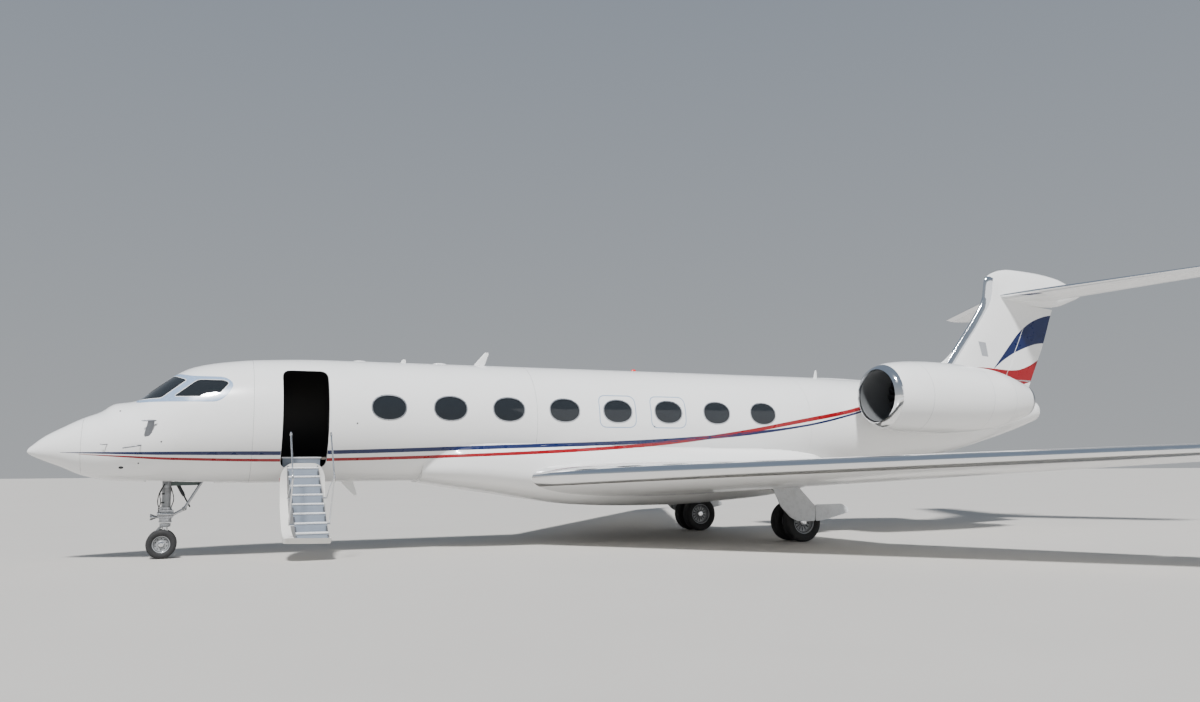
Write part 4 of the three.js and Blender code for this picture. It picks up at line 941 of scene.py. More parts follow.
def edge_tags(sections, points):
    """Material numbers of the faces between sections: 1 on the polished edge."""
    half = (points - 1) // 2
    row = [1 if abs(i + 0.5 - half) < LIP_COUNT else 0 for i in range(points)]
    return row * (sections - 1) + [0, 0]


def tip_loops(tip, steps, aft, way):
    """Ever smaller sections that round off a tip, from rows of step along the way and share kept."""
    middle = (tip + tip[::-1]) / 2
    return [middle + (tip - middle) * keep + np.array([aft * (1 - keep), 0.0, 0.0]) + np.array(way) * out
            for out, keep in steps]


def winglet_loops(count, lip):
    """Smooth sections from the outer wing up into the winglet."""
    rows = np.array(WING[3:], float)
    run = np.concatenate([[0], np.cumsum(np.linalg.norm(np.diff(rows[:, [0, 1]], axis=0), axis=1))])
    curve = pchip(np.column_stack([run, rows]))
    loops = []
    for q in np.linspace(run[1], run[-1], count):
        y, z, x, chord, ratio, fall, cant = curve(q)
        lean = math.radians(cant)
        loops.append(foil_loop(chord, ratio, lip, lambda c, up: np.array([
            x + c * chord, y - up * math.sin(lean), z - c * fall + up * math.cos(lean)])))
    return loops + tip_loops(loops[-1], ((0.012, 0.55), (0.018, 0.1)), 0.012, (0, 0, 1))


# Hinged pieces: start, end, share of the chord where the hinge starts and ends, and degrees they turn
FLAP_INNER = (1.7, 4.9, 0.902, 0.844, 39)
FLAP_OUTER = (5.06, 10.3, 0.79, 0.75, 39)
AILERON = (10.5, 13.6, 0.75, 0.75, 25)
AIRBRAKE = (5.3, 8.3, 0.6, 0.57, 50)
BRAKE_CHORD, BRAKE_THICK = 0.33, 0.022
RUDDER = (4.3, 6.69, 0.7, 0.68, 25)
ELEVATOR = (0.42, 5.15, 0.7, 0.68, 25)
BAY_GAP = 0.013
# The nose of a moving piece is this much slimmer than the surface at its hinge
HINGE_SLACK = 0.0004
# The cutter of a bay reaches this far above and below its hinge, and this far aft
BAY_TALL, BAY_AFT = 0.9, 5.0
# The rudder turns on a straight line, which the curved front of the fin doesn't give by shares
RUDDER_HINGE = (25.633516, 26.934773)
RUDDER_LEAN = (RUDDER_HINGE[1] - RUDDER_HINGE[0]) / (RUDDER[1] - RUDDER[0])


def square(a, b, upright):
    """A step aft and one square to the surface, on the fin where upright."""
    return np.array([a, b, 0] if upright else [a, 0, b])


def hinge_share(spec, s):
    start, end, first, last = spec[:4]
    if spec is RUDDER:
        line_x, chord = fin_at(s)[:2]
        hinge_x = np.interp(s, [start, end], RUDDER_HINGE) + (s - np.clip(s, start, end)) * RUDDER_LEAN
        return float((hinge_x - line_x) / chord)
    return first + (last - first) * (s - start) / (end - start)


def hinge_radius(spec, s, size):
    """Half the thickness at the hinge, which is the radius of the moving piece's nose."""
    chord, ratio = size(s)
    share = hinge_share(spec, s)
    return chord * foil_half(share, ratio) + EDGE_THICK / 2 * share - HINGE_SLACK


def hinge_limits(spec, point, size, upright):
    """Where the moving piece starts and ends, and how far its outer end is cut back for each metre aft.

    A slanted hinge carries the piece towards its outer end as it turns.
    """
    a, b = point(spec[0], spec[2], 0), point(spec[1], spec[3], 0)
    way = (b - a) / np.linalg.norm(b - a)
    rise = 0.0 if upright else way[2]
    turn = math.radians(spec[4])
    shift = 2 * math.sin(turn / 2) * abs(way[0]) + math.sin(turn) * rise
    low = spec[0] + RUN_GAP + hinge_radius(spec, spec[0], size) * shift
    high = spec[1] - RUN_GAP - hinge_radius(spec, spec[1], size) * shift
    slant = (1 - math.cos(turn)) * abs(way[0]) + math.sin(turn) * rise
    return low, high, slant, b[0]


def bay_cutter(spec, point, size, upright=False):
    """What is cut out of a surface for the piece that is hinged in it."""
    rings = []
    for s in (spec[0], spec[1]):
        centre = point(s, hinge_share(spec, s), 0)
        r = hinge_radius(spec, s, size) + BAY_GAP
        ring = [(0.0, BAY_TALL)]
        ring += [(-r * math.sin(t), r * math.cos(t)) for t in np.linspace(0, math.pi, 25)]
        ring += [(0.0, -BAY_TALL), (BAY_AFT, -BAY_TALL), (BAY_AFT, BAY_TALL)]
        rings.append([centre + square(a, b, upright) for a, b in ring])
    return grid(rings, caps=True)


def hinged_part(spec, point, size, upright=False, sections=24):
    """The piece that turns: round about its hinge and on to the trailing edge."""
    low, high, slant, end_x = hinge_limits(spec, point, size, upright)
    rings = []
    for t in np.linspace(0, 1, sections):
        s = low + t * (high - low)
        share = hinge_share(spec, s)
        centre = point(s, share, 0)
        r = hinge_radius(spec, s, size)
        ring = []
        for angle in np.linspace(0, math.pi, 15):
            ring.append(centre + square(-r * math.sin(angle), r * math.cos(angle), upright))
        above, below = [], []
        for c in np.linspace(share, 1, 14)[1:]:
            behind = max(0.0, point(s, c, 0)[0] - end_x)
            here = low + t * (high - slant * behind - low)
            chord, ratio = size(here)
            up = chord * foil_half(c, ratio) + EDGE_THICK / 2 * c
            above.append(point(here, c, up))
            below.append(point(here, c, -up))
        rings.append(ring + below + above[::-1])
    return grid(rings, caps=True)


def wing_top(s, share):
    z, x, chord, ratio, fall, _ = wing_at(s)
    up = chord * foil_half(share, ratio) + EDGE_THICK / 2 * share
    return np.array([x + share * chord, s, z - share * fall + up])


def brake_plate(gap, thick, lift, sections=2):
    rings = []
    for s in np.linspace(AIRBRAKE[0] + gap, AIRBRAKE[1] - gap, sections):
        share = hinge_share(AIRBRAKE, s)
        chord = wing_at(s)[2]
        front, rear = wing_top(s, share), wing_top(s, share + BRAKE_CHORD / chord)
        rings.append([front + (gap * 4, 0, -thick), rear + (-gap, 0, -thick), rear + (-gap, 0, lift),
                      front + (gap, 0, lift)])
    return grid(rings, caps=True)


# Leg bay in the wing: front, rear, inner and outer wall, foot and roof
LEG_BAY = (15.78, 16.3, 1.56, 2.68, 0.5, 1.36)
inner_loops = [foil_loop(*wing_size(s), WING_LIP, lambda c, up, s=s: wing_point(s, c, up))
               for s in np.unique(np.concatenate([np.linspace(1.2, 5, 12), np.linspace(5, 9.6, 12),
                                                  np.linspace(9.6, 14.0, 12)]))]
loops = inner_loops + winglet_loops(26, WING_LIP)
wing_part = grid(loops, caps=True)
wing_tags = edge_tags(len(loops), len(loops[0]))
wing_guide = grid(loops)
cutters = [bay_cutter(spec, wing_point, wing_size) for spec in (FLAP_INNER, FLAP_OUTER, AILERON)]
cutters.append(brake_plate(0, BRAKE_THICK + RUN_GAP, 0.06))
cutters.append(block(*LEG_BAY))
wing = carve(bring("starboard_wing_skin", wing_part, [WHITE, POLISHED], wing_tags), cutters, wing_guide)
settle(mirror(wing, "port_wing_skin", wing_guide), stands_for=["port_wing"])
settle(wing, stands_for=["starboard_wing"])

WING_PANELS = (("inboard_flap", FLAP_INNER), ("outboard_flap", FLAP_OUTER), ("aileron", AILERON))
for name, spec in WING_PANELS:
    both("{}_" + name + "_skin", hinged_part(spec, wing_point, wing_size), WHITE, "{}_" + name + "_panel",
         ["{}_" + name])
both("{}_airbrake_skin", brake_plate(RUN_GAP, BRAKE_THICK, -0.001), WHITE, "{}_airbrake_panel",
     ["{}_airbrake"])

# Tail
fin_loops = [foil_loop(*fin_size(s), FIN_LIP, lambda c, up, s=s: fin_point(s, c, up))
             for s in np.concatenate([np.linspace(3.65, 6.79, 22), np.linspace(6.83, 7.5, 22)])]
fin = bring("fin_skin", grid(fin_loops, caps=True), [WHITE, POLISHED],
            edge_tags(len(fin_loops), len(fin_loops[0])))
carve(fin, [bay_cutter(RUDDER, fin_point, fin_size, True)], grid(fin_loops))
settle(fin, stands_for=["fin"])
add("rudder_skin", hinged_part(RUDDER, fin_point, fin_size, True), WHITE, "rudder_panel", ["rudder"])

# Dorsal fillet: station and height of its top edge
DORSAL = [[19.9, 4.1], [21.3, 4.29], [22.5, 4.5], [23.3, 4.8], [23.9, 5.3]]
dorsal_top = pchip(DORSAL)
rings = []
for x in np.linspace(19.9, 23.75, 40):
    low = body_row(x)[0] - 0.12
    high = float(dorsal_top(x)[0])
    wide = 0.02 + 0.06 * min(1, (x - 19.9) / 2)
    ring = []
    for t in np.linspace(-1, 1, 25):
        flare = 1 + 1.5 * max(0, abs(t) - 0.8)
        y = wide * math.copysign(1 - (1 - abs(t)) ** 1.6, t) * flare
        ring.append([x, y, low + (high - low) * (1 - abs(t) ** 3.2)])
    rings.append(ring)
add("dorsal_skin", grid(rings, caps=True), WHITE)

half_loops = [foil_loop(*tail_size(s), TAIL_LIP, lambda c, up, s=s: tail_point(s, c, up))
              for s in np.linspace(0, 5.4, 22)]
half_loops += tip_loops(half_loops[-1], ((0.03, 0.75), (0.05, 0.35), (0.055, 0.05)), 0.02, (0, 1, 0))
other = [loop * np.array([1, -1, 1]) for loop in half_loops[:0:-1]]
tail_loops = other + half_loops
cutter = bay_cutter(ELEVATOR, tail_point, tail_size)
tailplane = bring("tailplane_skin", grid(tail_loops, caps=True), [WHITE, POLISHED],
                  edge_tags(len(tail_loops), len(tail_loops[0])))
carve(tailplane, [cutter, flipped(cutter)], grid(tail_loops))
settle(tailplane, stands_for=["tailplane"])
both("{}_elevator_skin", hinged_part(ELEVATOR, tail_point, tail_size), WHITE, "{}_elevator_panel",
     ["{}_elevator"])

# Bullet on the fin's top: station, top, bottom, half width
BULLET = [
    [25.115, 7.34, 7.0, 0.01], [25.15, 7.41, 6.88, 0.028], [25.2, 7.475, 6.76, 0.05],
    [25.3, 7.552, 6.68, 0.08], [25.505, 7.655, 6.62, 0.122], [25.8, 7.74, 6.62, 0.165],
    [26.147, 7.779, 6.62, 0.195], [27.051, 7.75, 6.64, 0.213], [28.03, 7.64, 6.72, 0.198],
    [28.7, 7.43, 6.93, 0.13], [29.1, 7.27, 7.09, 0.055], [29.225, 7.2, 7.17, 0.01],
]
BULLET_SIDES = 48
bullet_at = pchip(BULLET)
angle = 2 * math.pi * (np.arange(BULLET_SIDES) + 0.5) / BULLET_SIDES
rings = []
bullet_x = np.concatenate([25.115 + 0.4 * np.linspace(0, 1, 14) ** 2, np.linspace(25.55, 29.0, 30),
                           np.linspace(29.03, 29.225, 8)])
for x in bullet_x:
    top, low, wide = bullet_at(x)
    z = (top + low) / 2 + (top - low) / 2 * np.cos(angle)
    rings.append(np.column_stack([np.full(BULLET_SIDES, x), wide * np.sin(angle), z]))
add("tail_bullet_skin", grid(rings, caps=True), WHITE, stands_for=["tail_bullet"])


# Fin markings


# Marks keep this far from the rudder's foot, run this share of the gap over its nose,
# and stop this share of the chord short of the gap on the fin
FOOT_CLEAR, NOSE_SHARE, GAP_CLEAR = 0.002, 0.6, 0.0005
MARK_LONG_STEPS, MARK_TALL_STEPS = 60, 22


def fin_mark(upper, lower, rudder_side, side, lift=LINE_LIFT):
    """A painted shape between two curves of station and height, on the fin or on the rudder."""
    top, low = smooth_path(upper, MARK_LONG_STEPS), smooth_path(lower, MARK_LONG_STEPS)
    foot = hinge_limits(RUDDER, fin_point, fin_size, True)[0] + FOOT_CLEAR
    rings = []
    for a, b in zip(top, low):
        row = []
        for t in np.linspace(0, 1, MARK_TALL_STEPS):
            x, z = a * (1 - t) + b * t
            if rudder_side:
                z = max(z, foot)
            line_x, chord, ratio = fin_at(z)
            c = min(max((x - line_x) / chord, 0), 1)
            share = hinge_share(RUDDER, z)
            r = hinge_radius(RUDDER, z, fin_size)
            gap = math.sqrt(max(0, (r + BAY_GAP) ** 2 - r ** 2)) / chord
            if rudder_side:
                c = max(c, share - NOSE_SHARE * gap)
            elif z > RUDDER[0] - FOOT_CLEAR:
                c = min(c, share - gap - GAP_CLEAR)
            if rudder_side and c < share:
                y = math.sqrt(r ** 2 - ((share - c) * chord) ** 2) + lift
            else:
                y = chord * foil_half(c, ratio) + EDGE_THICK / 2 * c + lift
            row.append([line_x + c * chord, side * y, z])
        rings.append(row)
    return grid(rings, around=False)


BLUE_UPPER = [
    (25.15, 4.66), (25.5, 5.02), (25.89, 5.42), (26.25, 5.77), (26.64, 6.04), (27.0, 6.22), (27.5, 6.38),
    (27.93, 6.45),
]
BLUE_LOWER = [
    (25.15, 4.64), (25.5, 4.88), (25.89, 5.09), (26.2, 5.22), (26.59, 5.36), (26.98, 5.47), (27.3, 5.52),
    (27.55, 5.54),
]
RED_UPPER = [
    (24.45, 4.66), (24.9, 4.655), (25.4, 4.63), (25.9, 4.62), (26.28, 4.66), (26.7, 4.79), (27.05, 4.95),
    (27.33, 5.07),
]
RED_LOWER = [
    (24.45, 4.64), (24.9, 4.5), (25.4, 4.28), (25.9, 4.1), (26.1, 4.05), (26.4, 4.2), (26.8, 4.31),
    (26.95, 4.31),
]
MARKS = (("blue", BLUE, BLUE_UPPER, BLUE_LOWER), ("red", RED, RED_UPPER, RED_LOWER))
for word, side in SIDES:
    for colour, look, upper, lower in MARKS:
        add(f"{word}_fin_{colour}", fin_mark(upper, lower, False, side), look)
        add(f"{word}_rudder_{colour}", fin_mark(upper, lower, True, side), look, "rudder_panel")

VENT = np.array([(24.58, 5.45), (24.86, 5.42), (24.93, 4.99), (24.68, 5.01)])
VENT_LIFT = 0.0018
for word, side in SIDES:
    rings = []
    for t in np.linspace(0, 1, 8):
        a = VENT[0] * (1 - t) + VENT[3] * t
        b = VENT[1] * (1 - t) + VENT[2] * t
        row = []
        for u in np.linspace(0, 1, 8):
            x, z = a * (1 - u) + b * u
            line_x, chord, ratio = fin_at(z)
            c = (x - line_x) / chord
            row.append([x, side * (chord * foil_half(c, ratio) + EDGE_THICK / 2 * c + VENT_LIFT), z])
        rings.append(row)
    add(f"{word}_fin_vent", grid(rings, around=False), SEAM_LINE)


# Engines

FAN_X, ENGINE_Y, ENGINE_Z = 19.9, 2.3, 3.515
ENGINE_TOE = math.radians(3)


def toed(part, side=1):
    """Turns a part drawn along a straight axis by the engine's toe, about the fan."""
    turn = np.array(Matrix.Rotation(-side * ENGINE_TOE, 3, "Z"))
    points = (np.asarray(part[0], float) - np.array([FAN_X, 0, 0])) @ turn.T
    return points + np.array([FAN_X, side * ENGINE_Y, ENGINE_Z]), part[1]


outer_curve = smooth_path([
    (18.87, 0.672), (18.885, 0.71), (18.95, 0.755), (19.05, 0.795), (19.23, 0.843), (19.55, 0.887),
    (20.0, 0.918), (20.7, 0.931), (21.4, 0.915), (22.0, 0.884), (22.7, 0.82), (23.15, 0.737),
    (23.6, 0.612), (24.13, 0.443),
], 72)
inner_curve = smooth_path([
    (24.13, 0.418), (23.4, 0.56), (22.6, 0.69), (21.8, 0.745), (21.0, 0.76), (20.4, 0.72),
    (19.85, 0.665), (19.4, 0.645), (19.05, 0.638), (18.9, 0.65), (18.87, 0.672),
], 64)
COWL_SIDES = 96
COWL_SEAMS, SEAM_HALF = (19.95, 22.1, 23.05), 0.004
LIP_END, LIP_INSIDE, NOZZLE_START = 19.06, 18.95, 24.0
for seam in COWL_SEAMS:
    at = int(np.searchsorted(outer_curve[:, 0], seam))
    edges = [(x, np.interp(x, outer_curve[:, 0], outer_curve[:, 1]))
             for x in (seam - SEAM_HALF, seam + SEAM_HALF)]
    outer_curve = np.vstack([outer_curve[:at], edges, outer_curve[at:]])
profile = np.vstack([outer_curve, inner_curve[:-1]])
part = toed(turned(profile, "x", (0, 0, 0), COWL_SIDES, closed=True))
tags = []
for i, (here, following) in enumerate(zip(profile, np.roll(profile, -1, axis=0))):
    x, inside = (here[0] + following[0]) / 2, i >= len(outer_curve)
    if x < (LIP_INSIDE if inside else LIP_END):
        tag = 1
    elif inside:
        tag = 2
    elif min(abs(x - seam) for seam in COWL_SEAMS) < SEAM_HALF / 2:
        tag = 4
    else:
        tag = 3 if x > NOZZLE_START else 0
    tags += [tag] * COWL_SIDES
both("{}_nacelle_skin", part, [WHITE, POLISHED, LINER, SATIN, SEAM_LINE], stands_for=["{}_nacelle"], tags=tags)

# Pylon: distance out, height and station of the leading edge, chord, thickness ratio
PYLON = [[0.9, 3.45, 20.3, 4.15, 0.075], [1.7, 3.5, 20.45, 3.35, 0.075]]
pylon_at = straight(PYLON)
loops = []
for s in np.linspace(0.9, 1.5, 8):
    z, x, chord, ratio = pylon_at(s)
    loops.append(foil_loop(chord, ratio, PYLON_LIP, lambda c, up: np.array([x + c * chord, s, z + up])))
both("{}_pylon_skin", grid(loops, caps=True), WHITE)

core_curve = smooth_path([(20.02, 0.02), (20.03, 0.29), (20.4, 0.36), (21.5, 0.4), (22.6, 0.4), (23.1, 0.36),
                          (23.5, 0.28), (23.85, 0.16), (23.98, 0.02)], 48)
parts = [turned(core_curve, "x", (0, 0, 0), 48)]
VANES = 12
for k in range(VANES):
    vane = block(20.45, 20.75, -0.008, 0.008, 0.34, 0.72)
    turn = np.array(Matrix.Rotation(2 * math.pi * k / VANES, 3, "X"))
    parts.append((vane[0] @ turn.T, vane[1]))
both("{}_core_shell", toed(joined(*parts)), HOT, stands_for=["{}_engine_core"], slot="engine_dark")


FAN_BLADES, BLADE_POINTS = 20, 16
FAN_ROOT, FAN_TIP = 0.17, 0.648
# At the root and added up to the tip: degrees of twist, half width, half thickness
TWIST, BLADE_HALF, BLADE_THICK = (28, 34), (0.055, 0.035), (0.011, -0.006)
BLADE_CAMBER = 0.012


def fan_blade(angle, sections=9):
    """One wide twisted blade."""
    rings = []
    for r in np.linspace(FAN_ROOT, FAN_TIP, sections):
        t = (r - FAN_ROOT) / (FAN_TIP - FAN_ROOT)
        degrees, half, thick = (root + added * t for root, added in (TWIST, BLADE_HALF, BLADE_THICK))
        twist = math.radians(degrees)
        ring = []
        for k in range(BLADE_POINTS):
            a = 2 * math.pi * k / BLADE_POINTS
            u, v = half * math.cos(a), thick * math.sin(a) + BLADE_CAMBER * (1 - math.cos(a) ** 2)
            x = u * math.cos(twist) - v * math.sin(twist)
            ring.append([x, u * math.sin(twist) + v * math.cos(twist), r])
        rings.append(ring)
    points, faces = grid(rings, caps=True)
    turn = np.array(Matrix.Rotation(angle, 3, "X"))
    return points @ turn.T, faces


blades = joined(*[fan_blade(2 * math.pi * k / FAN_BLADES) for k in range(FAN_BLADES)])
cone = smooth_path([(-0.33, 0.004), (-0.31, 0.045), (-0.18, 0.14), (-0.06, 0.195), (0.06, 0.215),
                    (0.09, 0.2)], 24)
cone = np.vstack([cone, [[0.1, 0.06], [0.118, 0.06]]])
# The spiral painted on the spinner: turns, first station and length, half width where it ends
MARK_TURNS, MARK_START, MARK_LONG, MARK_HALF = 1.1, -0.31, 0.2, 0.012
spiral = []
for t in np.linspace(0, 1, 60):
    a = t * MARK_TURNS * 2 * math.pi
    along = MARK_START + MARK_LONG * t
    radius = float(np.interp(along, cone[:, 0], cone[:, 1])) + 0.001
    spiral.append([[FAN_X + along + w, (radius + w * 0.5) * math.sin(a), (radius + w * 0.5) * math.cos(a)]
                   for w in (-MARK_HALF * t, MARK_HALF * t)])
for word, side in SIDES:
    rotor = f"{word}_fan_rotor"
    add(f"{word}_fan_blades", toed(shifted(blades, FAN_X), side), TITANIUM, rotor, [f"{word}_fan"],
        "engine_dark")
    add(f"{word}_spinner", toed(turned([(FAN_X + a, r) for a, r in cone], "x", (0, 0, 0), 48), side), DARK,
        rotor, slot="engine_dark")
    add(f"{word}_spinner_mark", toed(grid(spiral, around=False), side), WHITE, rotor, slot="engine_dark")

# Airstair, drawn shut in the wall and let down about its lower edge
HINGE_Y, HINGE_Z = -0.860624, 1.796
DOOR_OPEN = math.radians(135)
LET_DOWN = (Matrix.Translation((0, HINGE_Y, HINGE_Z)) @ Matrix.Rotation(DOOR_OPEN, 4, "X")
            @ Matrix.Translation((0, -HINGE_Y, -HINGE_Z)))
SHUT = [edge + (RUN_GAP if low else -RUN_GAP) for edge, low in zip(DOOR, (True, False, True, False, False))]
door_edge = box_outline(*SHUT)
shell, guide = body_tube(4.4, 5.8, 0.1)
door = bring("airstair_skin", shell, [WHITE, LINING])
lower_corners = box_outline(SHUT[0], SHUT[1], SHUT[2], DOOR[3] + 0.46, 0.23)
carve(door, [prism(door_edge, "y", -CUT_REACH, -0.5), prism(lower_corners, "y", -CUT_REACH, -0.5)], guide,
      how="INTERSECT", edge_look=1)
settle(door, "airstair", ["airstair_door"], "paint_white", LET_DOWN)
for colour, look, rows in LINES:
    whole = pchip(rows)
    door_rows = [[x, *whole(x)] for x in np.linspace(SHUT[0], SHUT[1], 12)]
    add(f"airstair_{colour}_line", band(door_rows, -1), look, "airstair", place=LET_DOWN)


def stair(name, part, look, stands_for=(), sharp=38):
    """A piece of the stair, drawn on the shut door."""
    add(name, part, look, "airstair", stands_for, "stair_alloy", LET_DOWN, sharp=sharp)


def shut(x, along, out):
    """A point by station, distance up the shut door from its hinge, and distance outwards."""
    return (x, HINGE_Y + out, HINGE_Z + along)


STEPS = 8
STEP_FRONT, STEP_WIDTH, STEP_PITCH, STEP_FIRST, STEP_RISE = 4.8, 0.62, 0.255, 0.116, 0.15
STEP_DRIFT, TREAD_DEPTH, TREAD_THICK, STRINGER = 0.01, 0.18, 0.032, 0.028
# Treads stand this far inside the stringers' outer faces
TREAD_INSET = 0.002


def stair_front(along):
    return STEP_FRONT + STEP_DRIFT * along / STEP_PITCH


def inner_out(along, x):
    z = HINGE_Z + along
    return -float(body_half(np.array(x), np.array(z), -WALL)) - HINGE_Y


parts = []
for offset in (0.0, STEP_WIDTH - STRINGER):
    rings = []
    for along in np.linspace(0.06, 1.95, 24):
        x = stair_front(along) + offset
        low, high = inner_out(along, x) + 0.002, 0.13 if along < 0.1 else 0.09
        rings.append([shut(x, along, low), shut(x + STRINGER, along, low), shut(x + STRINGER, along, high),
                      shut(x, along, high)])
    parts.append(grid(rings, caps=True))
stair("airstair_stringers", joined(*parts), FRAME_GREY, ["airstair_steps"])

slope_back = (math.cos(DOOR_OPEN), -math.sin(DOOR_OPEN))
slope_drop = (-math.sin(DOOR_OPEN), -math.cos(DOOR_OPEN))


def tread_corner(x, along, back, drop):
    return shut(x, along + slope_back[1] * back + slope_drop[1] * drop,
                STEP_RISE + slope_back[0] * back + slope_drop[0] * drop)


def across_tread(corners, x0, x1):
    """A section of the stair from one station to another, from rows of distance up, back and down."""
    return grid([[tread_corner(x, *corner) for corner in corners] for x in (x0, x1)], caps=True)


NOSING_SHAPE = [
    (0.012, 0.0), (0.02, -0.001), (0.026, 0.002), (0.026, 0.008), (0.012, 0.03), (0.004, 0.034),
    (0.0, 0.028), (-0.003, 0.012), (0.002, 0.003),
]
# Grooves of a tread: pitch, and rows of distance back and down in one of them
GROOVE_PITCH = 0.016
GROOVE = ((0.0, 0.0), (-0.007, 0.0), (-0.009, 0.004), (-0.014, 0.004))
treads, nosings, risers = [], [], []
for i in range(STEPS):
    along = STEP_FIRST + i * STEP_PITCH
    x0 = stair_front(along) + TREAD_INSET
    x1 = x0 + STEP_WIDTH - 2 * TREAD_INSET
    deep = TREAD_DEPTH - (0.04 if i == 0 else 0)
    outline = [(0.012, 0.004), (0.012, TREAD_THICK), (deep, TREAD_THICK), (deep, 0.003)]
    back = deep - 0.006
    while back > 0.03:
        outline += [(back + b, d) for b, d in GROOVE]
        back -= GROOVE_PITCH
    treads.append(across_tread([(along, b, d) for b, d in outline], x0, x1))
    nosing = [(along, b, d) for b, d in NOSING_SHAPE]
    nosings.append(across_tread(nosing, x0 + TREAD_INSET, x1 - TREAD_INSET))
    below = along + STEP_PITCH
    foot = [(below, TREAD_DEPTH + 0.002, 0.0), (below, TREAD_DEPTH - 0.004, 0.0)]
    if i == STEPS - 1:
        foot = [(along, 0.03, 0.12), (along, 0.024, 0.12)]
    risers.append(across_tread([(along, 0.014, 0.03), (along, 0.02, 0.03)] + foot, x0, x1))
stair("airstair_risers", joined(*risers), STAIR_BLUE)
stair("airstair_treads", joined(*treads), TREAD, sharp=20)
stair("airstair_nosings", joined(*nosings), NOSING)

# Rails: distance up the shut door and outwards, for the rail, its link and their joints
RAIL_X = (4.765, 5.535)
RAIL_TOP, RAIL_KNEE, RAIL_FOOT = (0.28, 1.276), (1.377, 1.1), (1.65, 0.1)
RAIL_HEAD = (0.34, 1.266)
LINK = [RAIL_KNEE, (1.1, 0.6), (0.95, 0.1)]
PIN_OUT = 0.095
parts, knees = [], []
for x, inward in zip(RAIL_X, (1, -1)):
    inner = 0.014 if inward > 0 else STEP_WIDTH - 0.014
    parts.append(tube([shut(x, *spot) for spot in (RAIL_TOP, RAIL_KNEE, RAIL_FOOT)], 0.015, 16, 0.06))
    parts.append(rod(shut(x - inward * 0.015, RAIL_FOOT[0], PIN_OUT),
                     shut(stair_front(RAIL_FOOT[0]) + inner, RAIL_FOOT[0], PIN_OUT), 0.022))
    for spot in (RAIL_KNEE, RAIL_HEAD):
        knees.append(rod(shut(x - 0.022, *spot), shut(x + 0.022, *spot), 0.024, sides=24))
    parts.append(tube([shut(x + inward * 0.004, *spot) for spot in LINK], 0.007, 12, 0.05))
    parts.append(rod(shut(x - inward * 0.008, *LINK[-1]),
                     shut(stair_front(LINK[-1][0]) + inner, LINK[-1][0], PIN_OUT), 0.014))
stair("airstair_rails", joined(*parts), STEEL)
stair("airstair_rail_joints", joined(*knees), SATIN)
stair("airstair_hinge", rod(shut(DOOR[0] + 0.17, 0, 0), shut(DOOR[1] - 0.17, 0, 0), 0.0145, sides=24), DARK)

# Wheels


def gear(name, part, look, body="airframe", stands_for=()):
    """A piece of the landing gear."""
    add(name, part, look, body, stands_for, "gear_steel")


# Section of a groove about its middle: distance across and depth
TYRE_GROOVE = ((0.0065, 0), (0.005, 0.008), (-0.005, 0.008), (-0.0065, 0))
TREAD_CROWN = 0.012


def tyre_part(radius, width, bead, grooves, y):
    """Profile of a tyre with straight grooves, from its distance across."""
    w, tall = width / 2, radius - bead
    half = [(w * 0.6, bead), (w * 0.74, bead + 0.004), (w * 0.93, bead + 0.25 * tall), (w, bead + 0.5 * tall),
            (w * 0.97, bead + 0.7 * tall), (w * 0.87, radius * 0.945), (w * 0.7, radius * 0.985)]
    curve = [tuple(p) for p in smooth_path(half, 22)]
    crown = []
    tread = w * 0.66
    for k in range(grooves):
        middle = tread * (1 - (2 * k + 1) / grooves)
        for off, deep in TYRE_GROOVE:
            y_at = middle + off
            crown.append((y_at, radius - TREAD_CROWN * (y_at / tread) ** 2 - deep))
    profile = curve + crown + [(-a, r) for a, r in curve[::-1]]
    return [(y + a, r) for a, r in profile]


# Rim and hub: shares of half the width and of the bead's radius
RIM_FACE = [(0.42, 0.16), (0.42, 0.3), (0.3, 0.38), (0.22, 0.6), (0.28, 0.78), (0.5, 0.86), (0.7, 0.95),
            (0.74, 1.02), (0.66, 1.03)]
RIM_BACK = [(-0.6, 0.9), (-0.1, 0.86), (0.1, 0.6), (0.12, 0.2)]
HUB_CAP = [(0.1, 0.0), (0.11, 0.3), (0.44, 0.33), (0.6, 0.3), (0.66, 0.22), (0.66, 0.14), (0.6, 0.13),
           (0.6, 0.0)]
BEAD_GAP = 0.002


def wheel_rim(offset, width, bead, outward):
    """Profile of one rim: a dished disc, its flange and its back."""
    w = width / 2
    face = [(a * w, bead * r) for a, r in RIM_FACE]
    seat = [(0.58 * w, bead - BEAD_GAP), (-0.6 * w, bead - BEAD_GAP)]
    back = [(a * w, bead * r) for a, r in RIM_BACK]
    return [(offset * outward + outward * a, r) for a, r in face + seat + back]


def rim_opening(angle, centre, bead, hole):
    """A round hole with a radius and its ring's radius, or else a slot that widens outwards."""
    sine, cosine = math.sin(angle), math.cos(angle)
    if hole:
        radius, ring = hole
        return oval(centre[0] + ring * sine, centre[2] + ring * cosine, radius * 2, radius * 2, 20, 1.0)
    along, across = np.array([sine, cosine]), np.array([cosine, -sine])
    inner, outer = bead * 0.42, bead * 0.76
    slot = rounded([(inner, -0.011), (outer, -0.018), (outer, 0.018), (inner, 0.011)], 0.012, 5)
    return [np.array([centre[0], centre[2]]) + along * u + across * v for u, v in slot]


NOSE_AXLE = (2.485, 0.0, 0.29)
MAIN_AXLE = (16.23, 2.46, 0.462)


BOLTS = 10


WHEEL_SIDES = 72


